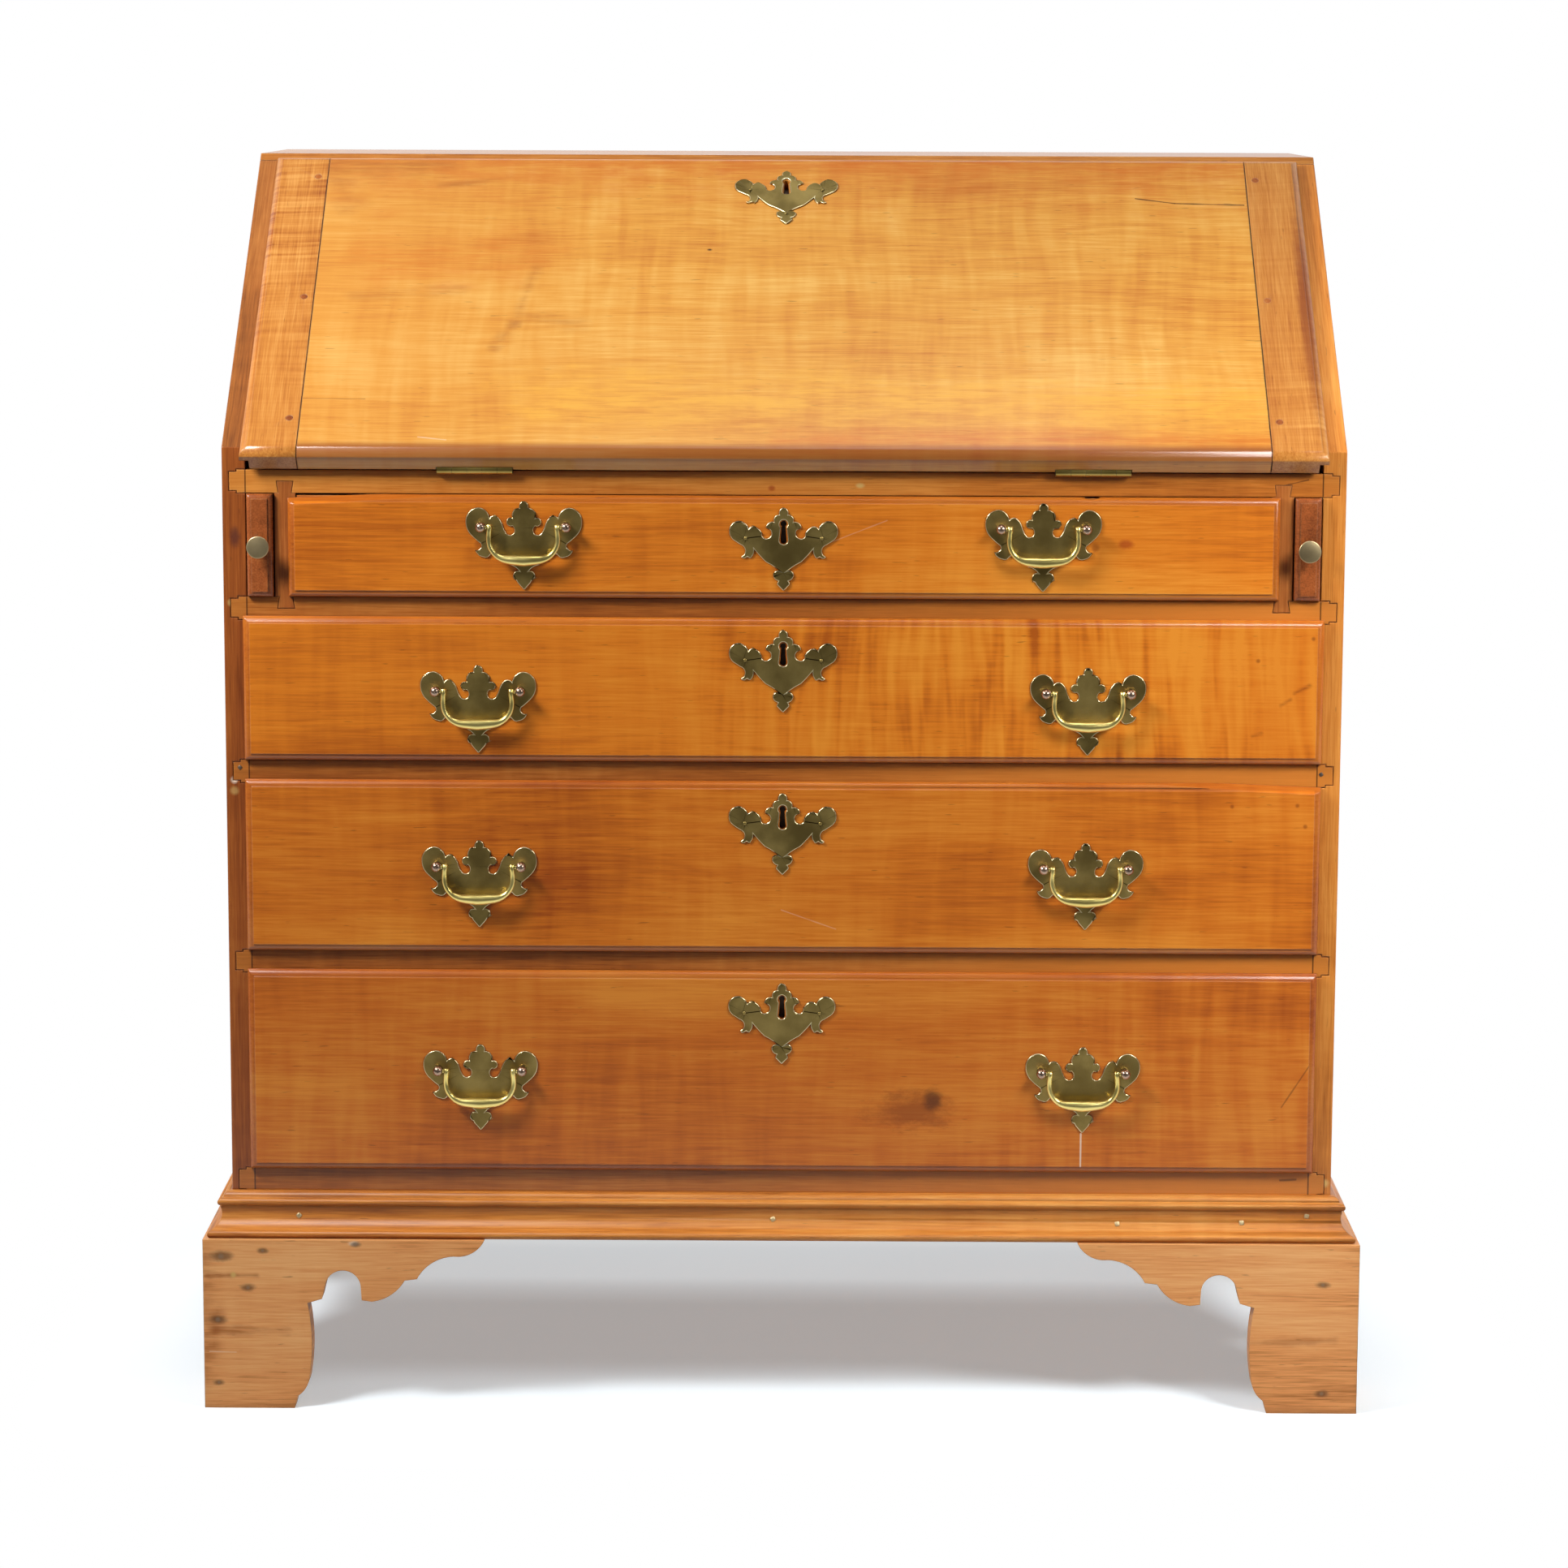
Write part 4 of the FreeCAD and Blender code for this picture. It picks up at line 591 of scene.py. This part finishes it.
rail_woods = family("maple_rail", "rail", 81.0, curl=0.25, marks=RAIL_MARKS)
# Painted light on the blades: lighter towards the right, where the drawer lips' shadow does not fall.
blade_light_and_marks = (across_mark(-0.15, 0.35, colour(212, 128, 46), 0.75),) + RAIL_MARKS
shaded_blade_woods = family("maple_blade_shaded", "blade", 87.0, curl=0.25, marks=blade_light_and_marks)
for node in ("lid_rail", "writing_bed"):
    dress(node, by_grain(rail_woods))
for node in ("drawer_blades", "bottom_board"):
    dress(node, by_grain(shaded_blade_woods))
# Painted shade: the partitions darkened for the shadow the lopers and the lip cast on them.
dress("loper_partitions", one(wood("maple_partition_shaded", Z, "partition", 85.0, curl=0.1)))
dress_slope("left_side", wood("maple_left_side", Z, "dark", 91.0, curl=0.2, marks=LEFT_SIDE_MARKS),
            wood("maple_left_slope", Y, "slope", 93.0, curl=0.2, turn=-SLANT))
dress_slope("right_side", wood("maple_right_side", Z, "warm", 95.0, curl=0.2, marks=RIGHT_SIDE_MARKS),
            wood("maple_right_slope", Y, "warm", 97.0, curl=0.2, turn=-SLANT))
dress("top_board", one(wood("maple_top", X, "top", 31.0, curl=0.2, gloss=0.75, wear=0.7)))
dress_around("base_moulding", family("maple_base", "base", 111.0, curl=0.15, gloss=0.6, polish=0.42))
for side, seed in zip(SIDES, (101.0, 103.0)):
    dress(side + "_loper", one(wood("maple_loper_" + side, Y, "loper", seed, curl=0.1)))

FOOT_NAILS = (
    (-0.4646, 0.1302, 0.006), (-0.4298, 0.1351, 0.003), (-0.4424, 0.1036, 0.004), (-0.4678, 0.076, 0.005),
    (-0.4677, 0.0219, 0.003), (-0.353, 0.1409, 0.003), (0.4496, 0.1105, 0.004), (0.4505, 0.0172, 0.004),
)
foot_marks = [
    figure_mark(on_foot(-0.47, 0.067), on_foot(-0.41, 0.065), 0.007, 0.6, 41.0),
    figure_mark(on_foot(-0.475, 0.114), on_foot(-0.435, 0.114), 0.004, 0.7, 42.0),
    figure_mark(on_foot(-0.472, 0.05), on_foot(-0.468, 0.085), 0.012, 0.5, 43.0),
    figure_mark(on_foot(0.39, 0.06), on_foot(0.46, 0.063), 0.006, 0.4, 44.0),
    line_mark(on_foot(-0.475, 0.0485), on_foot(-0.453, 0.048), 0.0007, PALE, 0.4, 0.001, 45.0),
    figure_mark(on_foot(-0.478, 0.02), on_foot(-0.478, 0.13), 0.012, 0.5, 46.0),
    patch_mark(on_foot(-0.3545, 0.1415), (0.006, 0.004, 0.003), PALE, 0.7, 47.0),
]
for x, z, radius in FOOT_NAILS:
    rust_size = (2.1 * radius, 1.1 * radius, 1.1 * radius)
    foot_marks.append(patch_mark(on_foot(x, z), rust_size, RUST, 0.7, x, 0.5))
    foot_marks.append(spot_mark(on_foot(x, z), 0.6 * radius, NAIL, 0.6))
foot_marks.append(spot_mark(on_foot(-0.4545, 0.1142), 0.0035, PUTTY))
foot_woods = family("maple_foot", "foot", 121.0, curl=0.1, gloss=0.15, wear=0.7)
foot_front = wood("maple_foot_front", X, "foot", 127.0, curl=0.1, gloss=0.15, wear=0.7, marks=foot_marks)
for corner in ("rear_left", "rear_right"):
    dress_around(corner + "_foot", foot_woods)
for corner in ("front_left", "front_right"):
    dress_around(corner + "_foot", [foot_front, foot_woods[Y]])

# Drawers

PLUG_SPOTS = ((-0.2477, 0.7237), (-0.1697, 0.7221), (0.1751, 0.7231), (0.2533, 0.723))
DRAWER_MARKS = {
    "top_drawer": [spot_mark(on_front(x, z), 0.005, SCORCH, 0.6) for x, z in PLUG_SPOTS] + [
        patch_mark(on_front(0.278, 0.7259), (0.008, 0.006, 0.006), RED, 0.6, 31.0),
        line_mark(on_front(0.0358, 0.7255), on_front(0.084, 0.7445), 0.0006, PALE, 0.16, 0.001, 32.0),
    ],
    "second_drawer": [
        across_mark(0.28, 0.42, colour(190, 100, 22), 0.35),
        figure_mark(on_front(0.4064, 0.594), on_front(0.4141, 0.5987), 0.003, 0.9, 33.0),
        figure_mark(on_front(0.4174, 0.6041), on_front(0.4294, 0.6101), 0.003, 0.9, 34.0),
        figure_mark(on_front(0.384, 0.569), on_front(0.391, 0.571), 0.0025, 0.8, 35.0),
        spot_mark(on_front(0.432, 0.649), 0.0025, SCORCH, 0.7),
        spot_mark(on_front(0.3873, 0.6307), 0.0025, SCORCH, 0.7),
    ],
    "third_drawer": [
        line_mark(on_front(-0.0008, 0.4221), on_front(0.0441, 0.4063), 0.0006, PALE, 0.2, 0.001, 35.0),
        spot_mark(on_front(0.4217, 0.5111), 0.0025, SCORCH, 0.7),
        spot_mark(on_front(0.3683, 0.5101), 0.0025, SCORCH, 0.7),
        spot_mark(on_front(0.4285, 0.4937), 0.0025, SCORCH, 0.7),
    ],
    "bottom_drawer": [
        patch_mark(on_front(0.1055, 0.2522), (0.045, 0.03, 0.022), SCORCH, 0.7, 36.0, 0.9),
        patch_mark(on_front(0.1255, 0.2624), (0.012, 0.01, 0.012), SOOT_AND_SHADE, 0.7, 37.0, 0.6),
        line_mark(on_front(0.2481, 0.2343), on_front(0.2481, 0.2028), 0.001, PALE, 0.75, 0.0012, 38.0),
        line_mark(on_front(0.4389, 0.2973), on_front(0.4137, 0.2577), 0.0008, CRACK, 0.5, 0.001, 39.0),
    ],
}
DRAWER_FIGURE = {
    "top_drawer": {"seed": 41.0, "curl": 0.35, "streak": 0.8, "cloud": 1.4},
    "second_drawer": {
        "seed": 53.0, "curl": 1.1, "curl_from": 0.05, "tight": 105.0, "streak": 0.75, "cloud": 1.4,
    },
    "third_drawer": {"seed": 67.0, "curl": 0.25, "streak": 0.8, "cloud": 1.6},
    "bottom_drawer": {"seed": 73.0, "curl": 0.5, "streak": 0.8, "cloud": 1.4},
}
LIP_WIDTH = 0.0062
PLATE_SHADES = (colour(140, 119, 66), colour(186, 162, 97))
# Painted shade: the lid's escutcheon in a darker copy of the drawer plates' brass, against the extra light
# from above on the lid.
SHADED_LID_PLATE_TONES = (colour(122, 104, 56), colour(170, 148, 88))
POST_DEPTH = 0.02
pine_woods = family("pine", "pine", 141.0, curl=0.0, streak=1.5, gloss=0.0)
plate_brass = brass("brass_plate", PLATE_SHADES, 3.0, 0.42, 0.9)
shaded_lid_plate_brass = brass("brass_lid_plate_shaded", SHADED_LID_PLATE_TONES, 6.0, 0.42, 0.9)
rim_brass = brass("brass_rim", (colour(220, 204, 150), colour(240, 228, 184)), 4.0, 0.3, 0.5)
bail_brass = brass("brass_bail", (colour(222, 198, 104), colour(246, 228, 146)), 5.0, 0.32, 0.5)
post_brass = brass("brass_post", (colour(142, 116, 98), colour(186, 160, 140)), 7.0, 0.28, 0.6)
hinge_brass = brass("brass_hinge", (colour(128, 106, 48), colour(186, 162, 92)), 9.0, 0.32, 0.6)
knob_brass = brass("brass_knob", (colour(150, 130, 94), colour(196, 176, 134)), 13.0, 0.42, 0.7)
old_iron = iron("iron", 17.0)
nail_iron = iron("iron_nail", 19.0, (colour(172, 152, 116), colour(214, 194, 150), colour(176, 140, 98)))


def brass_piece(low, high):
    """Posts are the small deep pieces of a drawer's brasses; plates are wide and thin."""
    return post_brass if high.y - low.y > POST_DEPTH else plate_brass


for drawer in DRAWERS:
    # Painted shade on the drawer lips, darker where they turn away from the light.
    lip_shade = lip_mark(drawer + "_front", LIP_WIDTH, LIP_SHADE, 0.4)
    front = wood("maple_" + drawer, X, drawer, marks=[lip_shade] + DRAWER_MARKS[drawer], **DRAWER_FIGURE[drawer])
    dress(drawer + "_front", one(front))
    dress_around(drawer + "_box", pine_woods)
    dress(drawer + "_brasses", brass_piece)
    dress(drawer + "_lock", one(old_iron))
    for side in SIDES:
        dress(drawer + "_" + side + "_bail", one(bail_brass))
dress("lid_escutcheon", one(shaded_lid_plate_brass))
dress("lid_lock", one(old_iron))
dress("hinge_case_leaves", one(hinge_brass))
dress("hinge_lid_leaves", one(hinge_brass))
dress("hinge_pins", one(old_iron))
for side in SIDES:
    dress(side + "_loper_knob", one(knob_brass))
for node in ("backboards", "drawer_runners", "foot_glue_blocks"):
    dress(node, by_grain(pine_woods))

# Gallery behind the lid

KNOB_LIMIT = 0.02
inside_woods = family("maple_inside", "inside", 131.0, curl=0.3, gloss=0.1)


def gallery_piece(low, high):
    """The knob is the only piece under 20 mm wide and high."""
    size = high - low
    if max(size.x, size.z) < KNOB_LIMIT:
        return knob_brass
    return inside_woods[longest(low, high)]


for node in ("gallery_shelf", "gallery_partitions", "gallery_valances"):
    dress(node, by_grain(inside_woods))
for index in range(1, 5):
    dress("gallery_drawer_" + str(index), gallery_piece)

# Rubbed arrises, some in a finish of their own; on the rails and blades a dark one, for the joint lines and
# as painted shade in the gaps at the drawer openings

ARRIS = 0.0007
SEAM = 0.0004
SHARP = math.radians(35.0)
ROUNDED_BOARDS = (
    "top_board", "lid_panel", "lid_left_batten", "lid_right_batten", "left_side", "right_side",
    "base_moulding", "left_loper", "right_loper",
)
# Dark joints and painted shade: a dark rounding on the rails' and blades' arrises, for the joint lines and
# the shadow in the gaps at the drawer openings.
seam_and_gap_shade_wood = wood("maple_seam_and_shade", X, "dark", 163.0, curl=0.0, gloss=0.0)


def soften(node, width, edge=None, segments=2, clamp=True):
    """Rounds the sharp edges of a node; edge is the material of the rounding."""
    piece = NODES[node]
    weld = piece.modifiers.new("weld", "WELD")
    weld.merge_threshold = 0.00001
    bevel = piece.modifiers.new("arris", "BEVEL")
    bevel.width = width
    bevel.segments = segments
    bevel.use_clamp_overlap = clamp
    bevel.limit_method = "ANGLE"
    bevel.angle_limit = SHARP
    bevel.harden_normals = True
    if edge:
        piece.data.materials.append(edge)
        bevel.material = len(piece.data.materials) - 1


for node in NODES:
    if node.endswith("_brasses") or node == "lid_escutcheon":
        soften(node, ARRIS, rim_brass, 1, clamp=False)
    elif node in ("lid_rail", "drawer_blades"):
        soften(node, SEAM, seam_and_gap_shade_wood, 1)
    elif node.endswith("_front") or node in ROUNDED_BOARDS:
        soften(node, ARRIS)

# Nail heads in the base moulding and the case front

HEAD_PROFILE = ((1.0, -0.3), (1.0, 0.25), (0.8, 0.7), (0.42, 0.94))
HEAD_SIDES = 14
MOULDING_NAILS = ((-0.401, 0.1614), (-0.0067, 0.1604), (0.2794, 0.1581), (0.3827, 0.1594), (0.4366, 0.1651))
BLADE_NAILS = ((-0.4458, 0.5376), (0.4415, 0.5358))


def surface_point(node, x, z):
    """Where a line from the front meets a node, and the way its surface faces there."""
    mesh = NODES[node].data
    points = [vertex.co for vertex in mesh.vertices]
    skin = BVHTree.FromPolygons(points, [face.vertices for face in mesh.polygons])
    point, facing, _, _ = skin.ray_cast(Vector((x, -1.0, z)), Vector((0.0, 1.0, 0.0)))
    return point, facing


def nail_heads(name, node, metal, places, radius, rise):
    """Hand-made nail heads, domed and a little square, one at each place on a node."""
    shape = bmesh.new()
    for number, (x, z) in enumerate(places):
        point, facing = surface_point(node, x, z)
        stand = Matrix.Translation(point) @ facing.to_track_quat("Z", "Y").to_matrix().to_4x4()
        rings = []
        for share, height in HEAD_PROFILE:
            ring = []
            for step in range(HEAD_SIDES):
                turn = math.tau * step / HEAD_SIDES
                wide = share * radius * (1.0 + 0.12 * math.cos(4.0 * turn + number))
                spot = Vector((wide * math.cos(turn), wide * math.sin(turn), height * rise))
                ring.append(shape.verts.new(stand @ spot))
            rings.append(ring)
        crown = shape.verts.new(stand @ Vector((0.0, 0.0, rise)))
        for low_ring, high_ring in zip(rings, rings[1:]):
            for step in range(HEAD_SIDES):
                after = (step + 1) % HEAD_SIDES
                shape.faces.new((low_ring[step], low_ring[after], high_ring[after], high_ring[step]))
        for step in range(HEAD_SIDES):
            shape.faces.new((rings[-1][step], rings[-1][(step + 1) % HEAD_SIDES], crown))
    for face in shape.faces:
        face.smooth = True
    mesh = bpy.data.meshes.new(name)
    shape.to_mesh(mesh)
    shape.free()
    mesh.materials.append(metal)
    piece = bpy.data.objects.new(name, mesh)
    bpy.context.scene.collection.objects.link(piece)
    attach(piece, "case")


nail_heads("moulding_nails", "base_moulding", nail_iron, MOULDING_NAILS, 0.0023, 0.0009)
nail_heads("blade_nails", "drawer_blades", old_iron, BLADE_NAILS, 0.0018, 0.0007)

# Floor, light and camera

def seen_rays(tree):
    """1 for the rays that show the background: to the camera, in reflections and through glass."""
    path = tree.add("LightPath")
    camera_ray = path.outputs["Is Camera Ray"]
    mirror_ray = tree.math("MAXIMUM", path.outputs["Is Glossy Ray"], path.outputs["Is Transmission Ray"])
    return camera_ray, mirror_ray, tree.math("MAXIMUM", camera_ray, mirror_ray)


FLOOR_REACH = 14.0
FLOOR_LIFT = 0.34
AMBIENT = 0.05
ROOM_BEHIND_CAMERA = 0.12


def floor_material():
    """Pale matt floor that keeps the shadow, and passes into the white background further out."""
    tree = material_tree("floor")
    place = tree.add("TexCoord").outputs["Object"]
    grain = tree.noise(place, (6.0, 6.0, 6.0), 1.0, 3.0)
    pale = tree.mix(tree.spread(grain, 0.3, 0.7), (0.7, 0.79, 0.85, 1.0), (0.72, 0.81, 0.87, 1.0))
    camera_ray, _, seen = seen_rays(tree)
    tint = tree.mix(seen, (0.42, 0.43, 0.44, 1.0), pale)
    white = (1.0, 1.0, 1.0, 1.0)
    matt = tree.add("BsdfDiffuse", {"Color": tint})
    lift = tree.add("Emission", {"Color": white, "Strength": tree.math("MULTIPLY", seen, FLOOR_LIFT)})
    near = tree.add("AddShader")
    tree.links.new(matt.outputs[0], near.inputs[0])
    tree.links.new(lift.outputs[0], near.inputs[1])
    dimmed = tree.spread(tree.part(place, Y), -1.5, -0.5, ROOM_BEHIND_CAMERA, 1.0)
    far = tree.add("Emission", {"Color": white, "Strength": tree.math("MAXIMUM", camera_ray, dimmed)})
    outside = tree.vector("MAXIMUM", tree.vector("SUBTRACT", tree.vector("ABSOLUTE", place), tuple(cad_high)),
                          (0.0, 0.0, 0.0))
    distance = tree.spread(tree.vector("LENGTH", outside, out=1), 0.0, 0.16)
    both = tree.add("MixShader", {"Fac": tree.math("MULTIPLY", distance, seen)})
    tree.links.new(near.outputs[0], both.inputs[1])
    tree.links.new(far.outputs[0], both.inputs[2])
    return tree.finish(both)


def studio():
    """White background; reflections see it too, and a dimmer room on the camera's side."""
    tree = Tree(bpy.data.worlds.new("studio"), "OutputWorld")
    camera_ray, mirror_ray, _ = seen_rays(tree)
    direction = tree.add("TexCoord").outputs["Generated"]
    mirrored = tree.spread(tree.part(direction, Y), 0.0, 0.5, ROOM_BEHIND_CAMERA, 1.0)
    strength = tree.add("Mix", {"Factor": mirror_ray, "A": AMBIENT, "B": mirrored}).outputs["Result"]
    strength = tree.math("MAXIMUM", strength, camera_ray)
    return tree.finish(tree.add("Background", {"Color": (1.0, 1.0, 1.0, 1.0), "Strength": strength}))


floor_mesh = bpy.data.meshes.new("floor")
corners = [(FLOOR_REACH * x, FLOOR_REACH * y, 0.0) for x, y in ((-1, -1), (1, -1), (1, 1), (-1, 1))]
floor_mesh.from_pydata(corners, [], [(0, 1, 2, 3)])
floor_mesh.materials.append(floor_material())
floor = bpy.data.objects.new("floor", floor_mesh)
bpy.context.scene.collection.objects.link(floor)
bpy.context.scene.world = studio()


def area_light(name, place, target, size, power, spread, mirrored=True):
    """Softbox with a grid that lets through an angle of spread degrees; mirrored: polish reflects it."""
    data = bpy.data.lights.new(name, "AREA")
    data.shape = "SQUARE"
    data.size = size
    data.energy = power
    data.spread = math.radians(spread)
    lamp = bpy.data.objects.new(name, data)
    lamp.location = place
    lamp.visible_glossy = mirrored
    lamp.rotation_euler = (Vector(target) - Vector(place)).to_track_quat("-Z", "Y").to_euler()
    bpy.context.scene.collection.objects.link(lamp)


area_light("left_softbox", (-1.2, -0.92, 1.67), (0.0, -0.1, 0.55), 0.42, 33.0, 180.0)
area_light("right_softbox", (1.2, -1.05, 1.4), (0.65, -0.2, 0.5), 0.5, 4.5, 68.0)
area_light("back_softbox", (0.0, 1.9, 2.0), (0.0, 0.2, 0.5), 0.8, 26.0, 180.0, mirrored=False)
area_light("top_softbox", (0.1, -0.45, 2.15), (0.05, -0.2, 0.6), 0.6, 5.0, 180.0)

FOCAL_PIXELS = 5200.0
FRAME_PIXELS = 1932.0
FRAME_SHIFT = -0.07
CAMERA_PLACE = (0.0186, -3.6361, 1.1063)
CAMERA_TURN = math.radians(0.3)
CAMERA_DOWN = math.radians(8.15)
CAMERA_ROLL = math.radians(0.22)
camera_data = bpy.data.cameras.new("camera")
camera_data.sensor_width = 36.0
camera_data.lens = camera_data.sensor_width * FOCAL_PIXELS / FRAME_PIXELS
camera_data.shift_y = FRAME_SHIFT
camera = bpy.data.objects.new("camera", camera_data)
turn = Matrix.Rotation(CAMERA_TURN, 4, "Z")
pitch = Matrix.Rotation(math.radians(90.0) - CAMERA_DOWN, 4, "X")
roll = Matrix.Rotation(CAMERA_ROLL, 4, "Z")
camera.matrix_world = Matrix.Translation(CAMERA_PLACE) @ turn @ pitch @ roll
bpy.context.scene.collection.objects.link(camera)
bpy.context.scene.camera = camera
bpy.context.scene.view_settings.view_transform = "Standard"

bpy.context.view_layer.update()
